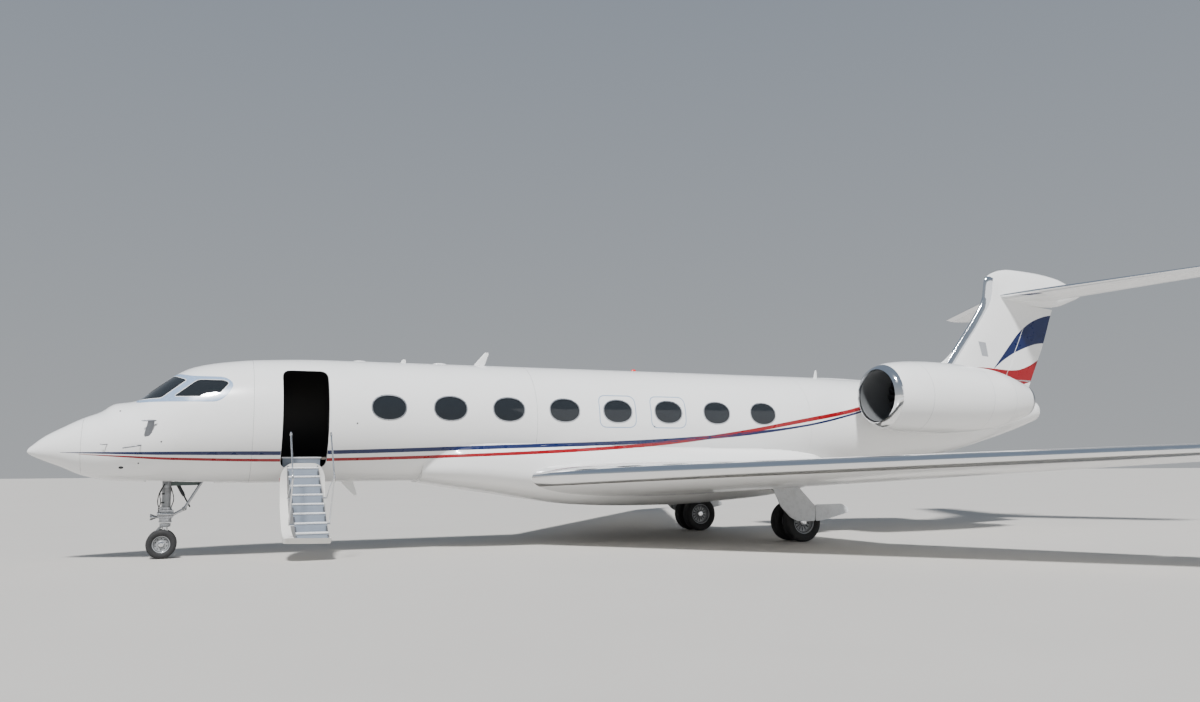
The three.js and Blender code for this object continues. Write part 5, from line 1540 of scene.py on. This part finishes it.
def pair_of_wheels(name, body, centre, offset, radius, width, bead, axle, openings, hole, tyre_nodes, rim_node,
                   grooves):
    hub_line = (centre[0], 0, centre[2])
    for word, side in SIDES:
        profile = tyre_part(radius, width, bead, grooves, side * offset)
        shape = turned([(centre[1] + a, r) for a, r in profile], "y", hub_line, WHEEL_SIDES, closed=True)
        add(f"{name}_{word}_tyre", shape, TYRE, body, [tyre_nodes[side]], "tyre_rubber", sharp=30)
        rim = [(centre[1] + a, r) for a, r in wheel_rim(offset, width, bead, side)]
        obj = bring(f"{name}_{word}_rim", turned(rim, "y", hub_line, WHEEL_SIDES, closed=True), [GEAR, DARK])
        y = centre[1] + side * offset
        tools = [prism(rim_opening(2 * math.pi * k / openings, centre, bead, hole), "y", y - width, y + width)
                 for k in range(openings)]
        carve(obj, [joined(*tools)])
        settle(obj, body, [rim_node] if side > 0 else [], "gear_steel")
        # A dark disc inside each rim, seen through its openings: a brake on the main wheels, and on the nose
        # wheels painted shade for the dark inside of the wheel
        front, rear = y - side * 0.1 * width, y + side * 0.02 * width
        discs = [(front, bead * 0.25), (front, bead * 0.82), (rear, bead * 0.82), (rear, bead * 0.25)]
        gear(f"{name}_{word}_brake_and_shade_disc", turned(discs, "y", hub_line, 48, closed=True), DARK, body)
        bolts = []
        for k in range(BOLTS):
            a = 2 * math.pi * (k + 0.5) / BOLTS
            x, z = centre[0] + bead * 0.36 * math.sin(a), centre[2] + bead * 0.36 * math.cos(a)
            low, high = sorted((y + side * 0.13 * width, y + side * 0.185 * width))
            bolts.append(rod((x, low, z), (x, high, z), bead * 0.034, sides=8))
        inner = y + side * 0.3 * width
        outer = inner + side * 0.02 * width
        ring = turned([(inner, bead * 0.85), (outer, bead * 0.86), (outer, bead * 0.9), (inner, bead * 0.91)],
                      "y", hub_line, 64, closed=True)
        gear(f"{name}_{word}_rim_bolts", joined(*bolts, ring), DARK, body)
        cap = [(centre[1] + side * (offset + a * width / 2), r * bead) for a, r in HUB_CAP]
        gear(f"{name}_{word}_hub", turned(cap, "y", hub_line, 40), STEEL, body)
    shaft = rod((centre[0], centre[1] - offset, centre[2]), (centre[0], centre[1] + offset, centre[2]), axle,
                sides=32)
    gear(f"{name}_axle", shaft, STEEL, body)


pair_of_wheels("nose", "nose_wheels", NOSE_AXLE, 0.185, 0.29, 0.19, 0.165, 0.035, 10, (0.012, 0.112),
               {-1: "port_nose_tyre", 1: "starboard_nose_tyre"}, "nose_wheel_rims", 3)
for word, side in SIDES:
    centre = (MAIN_AXLE[0], side * MAIN_AXLE[1], MAIN_AXLE[2])
    names = {side: f"{word}_outer_tyre", -side: f"{word}_inner_tyre"}
    pair_of_wheels(f"{word}_main", f"{word}_wheels", centre, 0.25, 0.462, 0.3, 0.272, 0.055, 14, None, names,
                   f"{word}_main_rims", 4)

# Entry sill, between the floor's edge and the open stair
sill = slab([(4.74, 1.8), (5.5, 1.8), (5.5, 2.012), (4.74, 2.012)], 0.02, -0.63, -0.612)
add("entry_sill_riser", sill, STAIR_BLUE, slot="stair_alloy")
lip = slab([(4.72, 2.006), (5.52, 2.006), (5.52, 2.034), (4.72, 2.034)], 0.008, -0.645, -0.585)
add("entry_sill_lip", lip, NOSING, slot="stair_alloy")

# Seats: frames with padded cushions, all facing forward


PAD_POINTS = 64
# How square a cushion is, and how far its sides pull in
PAD_POWER, PAD_PINCH = 0.4, 0.03
# Depth of a sewn channel, and its width as a share of the cushion
CHANNEL_DEEP, CHANNEL_WIDE = 0.008, 0.025


def pad_part(wide, long, thick, crown, channels=()):
    """A crowned cushion whose sides pull in between its corners, with sewn channels across it."""
    angle = 2 * math.pi * np.arange(PAD_POINTS) / PAD_POINTS
    pinch = 1 - PAD_PINCH * np.cos(2 * angle) ** 2
    x = long / 2 * np.sign(np.cos(angle)) * np.abs(np.cos(angle)) ** PAD_POWER * pinch
    y = wide / 2 * np.sign(np.sin(angle)) * np.abs(np.sin(angle)) ** PAD_POWER * pinch
    rings = []
    for share in np.concatenate([np.linspace(0.06, 0.9, 4), [0.97, 1.0]]):
        low = -thick / 2 * (1 - share ** 8) ** 0.5
        rings.append(np.column_stack([x * share, y * share, np.full(PAD_POINTS, low)]))
    for share in np.concatenate([[0.985, 0.95, 0.9], np.linspace(0.83, 0.05, 12)]):
        high = thick / 2 * (1 - share ** 5) ** 0.5 + crown * (1 - share ** 2)
        z = np.full(PAD_POINTS, high)
        for place in channels:
            sewn = np.exp(-((x * share / long - place) / CHANNEL_WIDE) ** 2)
            z -= CHANNEL_DEEP * sewn * (1 - share ** 4)
        rings.append(np.column_stack([x * share, y * share, z]))
    edge = np.column_stack([x, y, np.zeros(PAD_POINTS)])
    return grid(rings, caps=True), edge


def piping_part(edge, radius=0.006):
    """The corded seam round a cushion."""
    middle = edge.mean(axis=0)
    loops = []
    for point in edge:
        out = (point - middle) / np.linalg.norm(point - middle)
        loops.append([point + out * radius * math.cos(a) + np.array([0, 0, radius * math.sin(a)])
                      for a in np.linspace(0, 2 * math.pi, 9)[:-1]])
    return grid(loops, along=True)


def tipped(part, degrees, x, y, z):
    turn = np.array(Matrix.Rotation(math.radians(degrees), 3, "Y"))
    return np.asarray(part[0]) @ turn.T + np.array([x, y, z]), part[1]


SEAT_PAD = pad_part(0.47, 0.5, 0.11, 0.022, (-0.17, 0.02, 0.21))
BACK_PAD = pad_part(0.45, 0.6, 0.09, 0.02, (-0.3, -0.12, 0.06, 0.24))
HEAD_PAD = pad_part(0.29, 0.2, 0.085, 0.018)
# Rows of seats: distance out, and the station of each seat
SEAT_ROWS = {"pilot": (0.48, [3.12]), "cabin": (0.64, [7.3, 8.9, 11.4, 13.0, 15.2])}
SEAT_NODES = {"pilot": "pilot_seat", "cabin": "cabin_seats"}
# Cushions: form, lean, distance aft of the seat's station, height
CUSHIONS = {
    "seat": (SEAT_PAD, -3, -0.01, 2.405), "back": (BACK_PAD, -78, 0.225, 2.76),
    "head": (HEAD_PAD, -80, 0.3, 3.085),
}
# Frame: outline about the seat's station, corner radius, inner and outer face about its middle
FOOT = [(-0.17, 2.035), (0.17, 2.035), (0.2, 2.3), (-0.2, 2.3)]
PAN = [(-0.25, 2.29), (0.24, 2.29), (0.25, 2.355), (-0.25, 2.365)]
SHELL = [(0.19, 2.33), (0.27, 2.33), (0.41, 3.1), (0.385, 3.13), (0.33, 3.1)]
ARM = [(-0.17, 2.6), (0.22, 2.6), (0.22, 2.65), (-0.17, 2.66)]
POST_SHAPE = [(0.06, 2.32), (0.16, 2.32), (0.17, 2.61), (0.08, 2.61)]
SEAT_FRAME = [(FOOT, 0.03, -0.17, 0.17), (PAN, 0.02, -0.238, 0.238), (SHELL, 0.02, -0.21, 0.21),
              (ARM, 0.02, -0.3, -0.25), (POST_SHAPE, 0.02, -0.275, -0.235),
              (ARM, 0.02, 0.25, 0.3), (POST_SHAPE, 0.02, 0.235, 0.275)]
TRACK_X, TRACK_HALF, TRACK_Z = (7.0, 15.6), 0.04, (2.031, 2.068)
for word, side in SIDES:
    for row, (out, places) in SEAT_ROWS.items():
        frames, trims = [], []
        y = side * out
        for number, x in enumerate(places):
            for kind, ((pad, edge), lean, back, z) in CUSHIONS.items():
                cushion = add(f"{word}_{row}_{kind}_cushion_{number + 1}", tipped(pad, lean, x + back, y, z),
                              LEATHER, slot="seat_leather")
                trims.append(tipped(piping_part(edge), lean, x + back, y, z))
            for outline, radius, low, high in SEAT_FRAME:
                frames.append(slab([(x + dx, z) for dx, z in outline], radius, y + low, y + high))
        if row == "cabin":
            frames.append(block(*TRACK_X, y - TRACK_HALF, y + TRACK_HALF, *TRACK_Z))
        add(f"{word}_{row}_seat_frames", joined(*frames), CREAM, stands_for=[f"{word}_{SEAT_NODES[row]}"],
            slot="cabin_trim")
        add(f"{word}_{row}_seat_piping", joined(*trims), PIPING, slot="seat_leather")

# Screens on the leaning face of the instrument panel
PANEL_X, PANEL_Z, PANEL_LEAN = 2.48, 2.8, 0.2727
screens = []
for y in (-0.56, -0.2, 0.2, 0.56):
    face = [(y - 0.15, 2.72), (y + 0.15, 2.72), (y + 0.15, 2.95), (y - 0.15, 2.95)]
    loops = []
    for off in (-0.004, 0.006):
        loops.append([(PANEL_X - (z - PANEL_Z) * PANEL_LEAN + off, a, z) for a, z in rounded(face, 0.015)])
    screens.append(grid(loops, caps=True))
add("panel_screens", joined(*screens), SCREEN, slot="panel_dark")
hood = [(2.2, 3.045), (2.34, 3.062), (2.46, 3.056), (2.51, 3.035), (2.5, 3.022), (2.42, 3.03), (2.2, 3.03)]
add("panel_hood", prism(hood, "y", -0.76, 0.76), PANEL, slot="panel_dark")
LEVERS = ((0.0, -0.05), (0.02, 0.0), (0.0, 0.05))
levers = [rod((2.62 + dx, y, 2.62), (2.6 + dx, y, 2.71), 0.008) for dx, y in LEVERS]
levers += [rod((2.6 + dx, y - 0.018, 2.715), (2.6 + dx, y + 0.018, 2.715), 0.014) for dx, y in LEVERS]
add("pedestal_levers", joined(*levers), DARK, slot="panel_dark")

# Gear legs


def stepped(steps, crisp=0.004):
    """Turns a list of start, end and radius into a closed profile with small bevels."""
    out = [(steps[0][0], 0.0)]
    for low, high, r in steps:
        out += [(low, max(r - crisp, 0.001)), (low + crisp, r), (high - crisp, r),
                (high, max(r - crisp, 0.001))]
    return out + [(steps[-1][1], 0.0)]


def leaf(start, end, wide, narrow, thick, across):
    """A flat arm that tapers from one end to the other, rounded at both."""
    a, b = np.array(start, float), np.array(end, float)
    way = (b - a) / np.linalg.norm(b - a)
    side = np.array(across, float)
    normal = np.cross(way, side)
    outline = []
    for centre, radius, turn0 in ((a, wide, math.pi / 2), (b, narrow, -math.pi / 2)):
        for t in np.linspace(0, math.pi, 9):
            angle = turn0 + t
            outline.append(centre + way * radius * math.cos(angle) + normal * radius * math.sin(angle))
    return grid([[p - side * thick / 2 for p in outline], [p + side * thick / 2 for p in outline]], caps=True)


STRUT_X, NOSE_LEG_TOP = 2.54, 1.985
PIN_Z = 1.45


def on_strut(steps, x=STRUT_X, sides=40):
    """Steps of start, end and radius turned about the nose strut."""
    return turned(stepped(steps), "z", (x, 0, 0), sides)


strut = on_strut([(0.722, 1.0, 0.1), (1.0, 1.03, 0.112), (1.03, 1.34, 0.088), (1.34, 1.4, 0.1),
                  (1.4, 1.72, 0.088), (1.72, 1.76, 0.098), (1.76, NOSE_LEG_TOP, 0.086)])
pins = [rod((STRUT_X, side * 0.08, PIN_Z), (STRUT_X, side * 0.225, PIN_Z), 0.04) for side in (-1, 1)]
gear("nose_leg_strut", joined(strut, *pins), GEAR, stands_for=["nose_gear_leg"])
collar = on_strut([(0.72, 0.745, 0.126), (0.745, 0.8, 0.118), (0.8, 0.98, 0.128), (0.98, 1.028, 0.116)])
casing = slab([(STRUT_X - 0.15, 0.815), (STRUT_X + 0.15, 0.815), (STRUT_X + 0.15, 0.965),
               (STRUT_X - 0.15, 0.965)], 0.03, -0.11, 0.11)
ram = stepped([(STRUT_X - 0.16, STRUT_X - 0.13, 0.038), (STRUT_X - 0.13, STRUT_X + 0.11, 0.046),
               (STRUT_X + 0.11, STRUT_X + 0.15, 0.036)])
rams = [turned(ram, "x", (0, side * 0.118, 0.89), 28) for side in (-1, 1)]
gear("nose_steering_housing", joined(collar, casing, *rams), SATIN)
braces = []
for side in (-1, 1):
    braces.append(rod((2.56, side * 0.05, 0.8), (2.89, side * 0.09, 0.99), 0.026))
    braces.append(rod((2.88, side * 0.09, 0.98), (3.44, side * 0.118, 1.95), 0.026))
    braces.append(rod((2.87, side * 0.075, 0.985), (2.91, side * 0.115, 0.995), 0.04))
braces.append(rod((2.89, -0.11, 0.99), (2.89, 0.11, 0.99), 0.03))
braces.append(rod((3.16, -0.1, 1.47), (3.16, 0.1, 1.47), 0.02))
gear("nose_drag_brace", joined(*braces), SATIN)
bracket = slab([(2.52, 1.455), (3.2, 1.47), (3.2, 1.53), (2.52, 1.545)], 0.02, -0.034, 0.034)
lugs = [rod((x, -0.05, 1.5), (x, 0.05, 1.5), 0.028) for x in (2.66, 3.17)]
gear("nose_leg_bracket", joined(bracket, *lugs), BRACKET)
actuator = turned(stepped([(0.0, 0.06, 0.03), (0.06, 0.5, 0.036), (0.5, 0.54, 0.03), (0.54, 0.8, 0.016)]), "x",
                  (0, 0, 0), 24)
gear("nose_lock_actuator", tipped(actuator, 62, 2.62, 0.13, 1.72), DARK)


def hose_parts(paths, radius):
    """Hoses along smooth curves."""
    return [tube([tuple(p) for p in smooth_path(path, 24)], radius, 10, 0.02) for path in paths]
hoses = [
    [(2.5, -0.1, 1.5), (2.42, -0.12, 1.3), (2.44, -0.13, 1.12), (2.4, -0.13, 0.99), (2.42, -0.1, 0.93)],
    [(2.5, 0.1, 1.52), (2.4, 0.11, 1.3), (2.38, 0.12, 1.1), (2.44, 0.12, 0.95)],
    [(2.62, -0.06, 1.44), (2.68, -0.1, 1.2), (2.64, -0.11, 1.03)],
]
clips = [rod((2.45, y, z), (2.5, y * 0.7, z), 0.012) for y, z in ((-0.13, 1.12), (0.11, 1.3), (-0.12, 1.3))]
gear("nose_leg_hoses", joined(*hose_parts(hoses, 0.009), *clips), HOSE)
LAMP_AXIS = (0, 0, 0.83)
lamp_shell = turned([(2.2565, 0.056), (2.2505, 0.0615), (2.256, 0.0635), (2.29, 0.058), (2.335, 0.036),
                     (2.37, 0.024), (2.44, 0.022), (2.44, 0.0), (2.35, 0.0), (2.3, 0.03), (2.27, 0.05)],
                    "x", LAMP_AXIS, 36)
gear("taxi_light_shell", lamp_shell, SATIN)
lens = turned([(2.2525, 0.0), (2.253, 0.03), (2.2565, 0.0575), (2.262, 0.0575), (2.262, 0.0)], "x",
              LAMP_AXIS, 36)
gear("taxi_light_lens", lens, LENS)

# The steered half rides on the fork
gear("nose_piston", on_strut([(0.31, 0.628, 0.055), (0.628, 0.6985, 0.053)]), STEEL, "nose_fork",
     ["nose_gear_fork"])
yoke = on_strut([(0.63, 0.65, 0.1), (0.65, 0.6985, 0.107)])


def axle_sleeve(rows, axle_place, sides):
    """A sleeve about an axle, from rows of distance across and radius on one side."""
    return turned([(-a, r) for a, r in rows] + rows[::-1], "y", axle_place, sides, closed=True)


sleeve = axle_sleeve([(0.072, 0.0365), (0.072, 0.07), (0.066, 0.076), (0.05, 0.082)],
                     (NOSE_AXLE[0], 0, NOSE_AXLE[2]), 36)
saddle = turned([(0.3, 0.0), (0.3, 0.066), (0.36, 0.07), (0.42, 0.058), (0.42, 0.0)], "z",
                (STRUT_X - 0.012, 0, 0), 32)
arms = []
for side in (-1, 1):
    knee = (2.335, side * 0.014, 0.5)
    arms.append(leaf((2.48, side * 0.034, 0.655), knee, 0.026, 0.018, 0.016, (0, 1, 0)))
    arms.append(leaf((2.435, side * 0.042, 0.325), knee, 0.024, 0.018, 0.016, (0, 1, 0)))
arms.append(rod((2.335, -0.04, 0.5), (2.335, 0.04, 0.5), 0.016))
arms.append(rod((2.475, -0.05, 0.655), (2.475, 0.05, 0.655), 0.015))
gear("nose_fork_parts", joined(yoke, sleeve, saddle, *arms), GEAR, "nose_fork")

# Main gear, drawn to starboard
LEG_TOP = (16.08, 1.355)


def on_leg(share):
    return (MAIN_AXLE[0] + (LEG_TOP[0] - MAIN_AXLE[0]) * share, MAIN_AXLE[1],
            MAIN_AXLE[2] + (LEG_TOP[1] - MAIN_AXLE[2]) * share)


def along_leg(steps, sides=36):
    start, end = np.array(on_leg(0)), np.array(on_leg(1))
    points, faces = turned(stepped(steps), "z", (0, 0, 0), sides)
    lean = np.array(Vector((0, 0, 1)).rotation_difference(Vector(end - start)).to_matrix())
    return points @ lean.T + start, faces


both("{}_oleo_piston", along_leg([(0.05, 0.56, 0.066)]), STEEL, stands_for=["{}_main_leg"], slot="gear_steel")
hub_sleeve = axle_sleeve([(0.088, 0.0565), (0.088, 0.1), (0.08, 0.108), (0.06, 0.112)], MAIN_AXLE, 40)
cylinder = along_leg([(0.45, 0.49, 0.112), (0.49, 0.72, 0.104), (0.72, 0.76, 0.112), (0.76, 0.895, 0.1)])
foot_block = along_leg([(0.06, 0.16, 0.084), (0.16, 0.2, 0.074)])
LEG_Y = MAIN_AXLE[1]
scissors = []
for side in (-1, 1):
    knee = (16.46, LEG_Y + side * 0.016, 0.69)
    scissors.append(leaf((16.27, LEG_Y + side * 0.034, 0.875), knee, 0.03, 0.02, 0.02, (0, 1, 0)))
    scissors.append(leaf((16.29, LEG_Y + side * 0.042, 0.53), knee, 0.03, 0.02, 0.02, (0, 1, 0)))
LEG_PINS = ((16.46, 0.69, 0.045, 0.018), (16.27, 0.875, 0.06, 0.022), (16.29, 0.53, 0.07, 0.022))
for x, z, half, radius in LEG_PINS:
    scissors.append(rod((x, LEG_Y - half, z), (x, LEG_Y + half, z), radius))
both("{}_leg_parts", joined(hub_sleeve, cylinder, foot_block, *scissors), GEAR, slot="gear_steel")
stays = [rod((16.14, LEG_Y, 0.84), (15.94, 1.85, 1.29), 0.036),
         rod((16.13, LEG_Y, 0.96), (16.08, 1.85, 1.31), 0.028),
         rod((16.13, LEG_Y - 0.02, 0.84), (16.1, LEG_Y - 0.12, 0.88), 0.05)]
both("{}_side_stays", joined(*stays), SATIN, slot="gear_steel")
BRAKE_LINE = [(16.02, 0.09, 1.2), (16.04, 0.12, 1.0), (16.1, 0.11, 0.82), (16.14, 0.09, 0.66),
              (16.18, 0.08, 0.56)]
brake_lines = [[(x, LEG_Y + side * out, z) for x, out, z in BRAKE_LINE] for side in (1, -1)]
brake_lines.append([(16.21, LEG_Y, 1.15), (16.23, LEG_Y + 0.02, 1.0), (16.3, LEG_Y + 0.03, 0.93)])
both("{}_brake_lines", joined(*hose_parts(brake_lines, 0.01)), HOSE, slot="gear_steel")

LEG_DOOR_Y = 2.95
LEG_PLATE = [(15.277, 1.3), (15.516, 0.825), (15.753, 0.591), (15.943, 0.495), (16.444, 0.481), (16.452, 0.85),
             (16.4, 0.89), (16.016, 1.274)]
LEG_BLADE = [(16.46, 0.482), (16.642, 0.487), (17.427, 0.664), (17.4, 0.76), (17.234, 0.866), (16.46, 0.864)]


RIM_SOFT, RIM_STEP = 0.006, 0.005


def thin_plate(outline, y, half, radius):
    """A plate with a soft rim."""
    edge = rounded(outline, radius, 6)
    near, far = grown(edge, -RIM_SOFT), grown(edge, 0)
    loops = []
    for shape, offset in ((near, -half), (far, -half + RIM_STEP), (far, half - RIM_STEP), (near, half)):
        loops.append([(x, y + offset, z) for x, z in shape])
    return grid(loops, caps=True)


plate = thin_plate(LEG_PLATE, LEG_DOOR_Y, 0.0138, 0.05)
vane = thin_plate(LEG_BLADE, LEG_DOOR_Y, 0.011, 0.04)
both("{}_leg_door_plate", plate, SHADOW_PAINT, stands_for=["{}_leg_door"])
both("{}_leg_door_blade", vane, SHADOW_PAINT)
ribs = [rod((16.44, LEG_DOOR_Y - 0.012, z), (16.56, LEG_DOOR_Y - 0.012, z), 0.014) for z in (0.56, 0.78)]
for x in (15.75, 15.95, 16.15):
    ribs.append(slab([(x - 0.008, 0.62), (x + 0.008, 0.62), (x + 0.008, 1.1), (x - 0.008, 1.1)], 0.005,
                     LEG_DOOR_Y - 0.045, LEG_DOOR_Y - 0.013))
ribs.append(rod((16.06, LEG_Y + 0.1, 1.04), (16.02, LEG_DOOR_Y - 0.01, 1.04), 0.02))
ribs.append(rod((16.04, LEG_Y + 0.1, 1.14), (16.0, LEG_DOOR_Y - 0.01, 1.14), 0.02))
both("{}_leg_door_ribs", joined(*ribs), GEAR, slot="gear_steel")


# Small parts on the outside


def blade_part(rows, thick):
    """A swept blade from rows of height, front and rear station."""
    loops = []
    for z, front, rear in rows:
        chord = rear - front
        shape = [(1 - math.cos(a)) / 2 for a in np.linspace(0, math.pi, 12)]
        half = [thick / 2 * 2.6 * math.sqrt(c) * (1 - c) + 0.0015 for c in shape]
        ring = [(front + c * chord, h, z) for c, h in zip(shape, half)]
        ring += [(front + c * chord, -h, z) for c, h in zip(shape[::-1], half[::-1])]
        loops.append(ring)
    return grid(loops, caps=True)


# Dome: shares of its height and of its outline
DOME = ((-0.3, 1.0), (0.0, 1.0), (0.3, 0.97), (0.6, 0.85), (0.82, 0.64), (0.95, 0.38), (1.0, 0.12))


def dome_part(x, length, width, height, sunk=0.006):
    """A low pod with rounded ends on the crown of the fuselage."""
    z = body_row(x)[0] - sunk
    loops = []
    for level, share in DOME:
        long, wide = length / 2 * share, width / 2 * share
        loops.append([(x + long * math.cos(a), wide * math.sin(a), z + height * level)
                      for a in np.linspace(0, 2 * math.pi, 33)[:-1]])
    return grid(loops, caps=True)


aerials = [
    blade_part([(4.1, 8.99, 9.25), (4.2, 9.04, 9.29), (4.35, 9.17, 9.35), (4.46, 9.27, 9.39),
                (4.5, 9.31, 9.385)], 0.02),
    blade_part([(4.08, 18.66, 18.8), (4.2, 18.69, 18.8), (4.32, 18.72, 18.795),
                (4.39, 18.745, 18.785)], 0.014),
    blade_part([(1.58, 5.99, 6.29), (1.48, 6.05, 6.3), (1.34, 6.18, 6.35), (1.25, 6.27, 6.38),
                (1.2, 6.32, 6.385)], 0.02),
    dome_part(6.38, 0.3, 0.16, 0.035),
    dome_part(8.21, 0.34, 0.18, 0.04),
    blade_part([(4.18, 7.3, 7.42), (4.23, 7.33, 7.42), (4.262, 7.36, 7.41)], 0.014),
]
add("aerials", joined(*aerials), WHITE)
add("upper_beacon", dome_part(13.2, 0.14, 0.1, 0.06, 0.004), RED_LENS, slot="tinted_glass")


def from_side(x, z, side, lift):
    return tuple(on_side([(x, z)], side, lift)[0])


# Section of a probe's mast: shares of its length and of its half width
MAST = ((0, 0), (0.2, 0.8), (0.5, 1), (0.8, 0.6), (1, 0), (0.8, -0.6), (0.5, -1), (0.2, -0.8))
PROBE_PIPE = [(2.052, 0.0), (2.052, 0.009), (2.08, 0.015), (2.2, 0.018), (2.29, 0.016), (2.32, 0.005),
              (2.32, 0.0)]
PROBE_Z = 2.74
# Ports: station, height, length and height of each
PORTS = ((1.64, 2.95, 0.03, 0.03), (1.71, 1.834, 0.09, 0.05), (2.02, 1.915, 0.03, 0.03),
         (2.42, 2.33, 0.03, 0.03), (6.15, 2.72, 0.035, 0.035), (13.1, 2.72, 0.04, 0.04))
for word, side in SIDES:
    foot_front, foot_rear = from_side(2.09, 2.424, side, -0.01), from_side(2.23, 2.447, side, -0.01)
    head_y = from_side(2.2, PROBE_Z, side, 0.12)[1]
    head_front, head_rear = np.array([2.17, head_y, PROBE_Z]), np.array([2.29, head_y, PROBE_Z])
    mast = []
    for t in np.linspace(0, 1, 6):
        a = np.array(foot_front) * (1 - t) + head_front * t
        b = np.array(foot_rear) * (1 - t) + head_rear * t
        half = 0.014 - 0.004 * t
        mast.append([a + (b - a) * c + np.array([0, h * half, 0]) for c, h in MAST])
    probes = [grid(mast, caps=True), turned(PROBE_PIPE, "x", (0, head_y, PROBE_Z), 20)]
    for front, z0, rear, z1, size in ((1.76, 2.224, 2.06, 2.264, 0.012), (1.36, 2.292, 1.46, 2.285, 0.008)):
        tip = from_side(front, z0, side, 0.07)
        bend = from_side(rear - 0.06, z1 - 0.005, side, 0.07)
        foot = from_side(rear, z1, side, -0.005)
        probes.append(tube([tip, bend, foot], size, 12, 0.03))
    add(f"{word}_probes", joined(*probes), PROBE, slot="gear_steel")
    ports = [pillow(oval(x, z, long, high, 20, 1.0), side, 0.0015, 0.003, 3) for x, z, long, high in PORTS]
    add(f"{word}_static_ports", joined(*ports), DARK, slot="gear_steel")

# Carried-over CAD nodes keep their shape and get a finish
LOOKS = {
    "cabin_floor": CARPET, "cockpit_bulkhead": CREAM, "entry_partition": CREAM, "aft_bulkhead": CREAM,
    "instrument_panel": PANEL,
}
for node, look in LOOKS.items():
    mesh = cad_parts[node].data
    mesh.materials.clear()
    mesh.materials.append(look)

# Camera, light and floor
PHOTO_WIDTH, FOCAL_PIXELS, SENSOR = 1200, 955.745, 36
CAMERA = (2.887 - NOSE, -21.789, 1.693)
YAW, PITCH, ROLL = math.radians(66.677), math.radians(7.133), math.radians(-0.501)
forward_dir = Vector((math.cos(YAW) * math.cos(PITCH), math.sin(YAW) * math.cos(PITCH), math.sin(PITCH)))
right = Vector((math.sin(YAW), -math.cos(YAW), 0))
up = right.cross(forward_dir)
tilted_right = right * math.cos(ROLL) + up * math.sin(ROLL)
tilted_up = up * math.cos(ROLL) - right * math.sin(ROLL)
camera = bpy.data.objects.new("camera", bpy.data.cameras.new("camera"))
camera.data.sensor_width = SENSOR
camera.data.lens = FOCAL_PIXELS * SENSOR / PHOTO_WIDTH
camera.data.clip_end = 2000
turn = Matrix((tilted_right, tilted_up, -forward_dir)).transposed().to_4x4()
camera.matrix_world = Matrix.Translation(CAMERA) @ turn
bpy.context.scene.collection.objects.link(camera)
bpy.context.scene.camera = camera

FLOOR = finish("studio_floor", (0.5, 0.48, 0.45), 0.75, vary=0.03, scale=0.2, grain=0.05, grain_scale=30)
floor_mesh = bpy.data.meshes.new("floor")
FLOOR_HALF = 600
floor_corners = [(x * FLOOR_HALF, y * FLOOR_HALF, 0) for x, y in ((-1, -1), (1, -1), (1, 1), (-1, 1))]
floor_mesh.from_pydata(floor_corners, [], [(0, 1, 2, 3)])
floor_mesh.materials.append(FLOOR)
floor = bpy.data.objects.new("studio_floor", floor_mesh)
bpy.context.scene.collection.objects.link(floor)


def lamp(name, kind, energy, place, aim, **sizes):
    data = bpy.data.lights.new(name, kind)
    data.energy = energy
    for key, value in sizes.items():
        setattr(data, key, value)
    obj = bpy.data.objects.new(name, data)
    obj.location = place
    obj.rotation_mode = "QUATERNION"
    obj.rotation_quaternion = (Vector(aim) - Vector(place)).to_track_quat("-Z", "Y")
    bpy.context.scene.collection.objects.link(obj)


lamp("key", "SUN", 6.4, (-10, -20, 34), (0, 0, 2), angle=math.radians(7))
lamp("fill", "AREA", 1500, (18, -34, 10), (2, 0, 3), size=22)
world = bpy.data.worlds.new("studio")
world.use_nodes = True
nodes, links = world.node_tree.nodes, world.node_tree.links
sky = nodes.new("ShaderNodeTexCoord")
height = nodes.new("ShaderNodeSeparateXYZ")
ramp = nodes.new("ShaderNodeValToRGB")
links.new(sky.outputs["Generated"], height.inputs["Vector"])
links.new(height.outputs["Z"], ramp.inputs["Fac"])
links.new(ramp.outputs["Color"], nodes["Background"].inputs["Color"])
ramp.color_ramp.elements[0].position = 0.0
ramp.color_ramp.elements[0].color = (0.7, 0.73, 0.76, 1)
ramp.color_ramp.elements[1].position = 0.7
ramp.color_ramp.elements[1].color = (0.34, 0.42, 0.54, 1)
nodes["Background"].inputs["Strength"].default_value = 0.6
bpy.context.scene.world = world
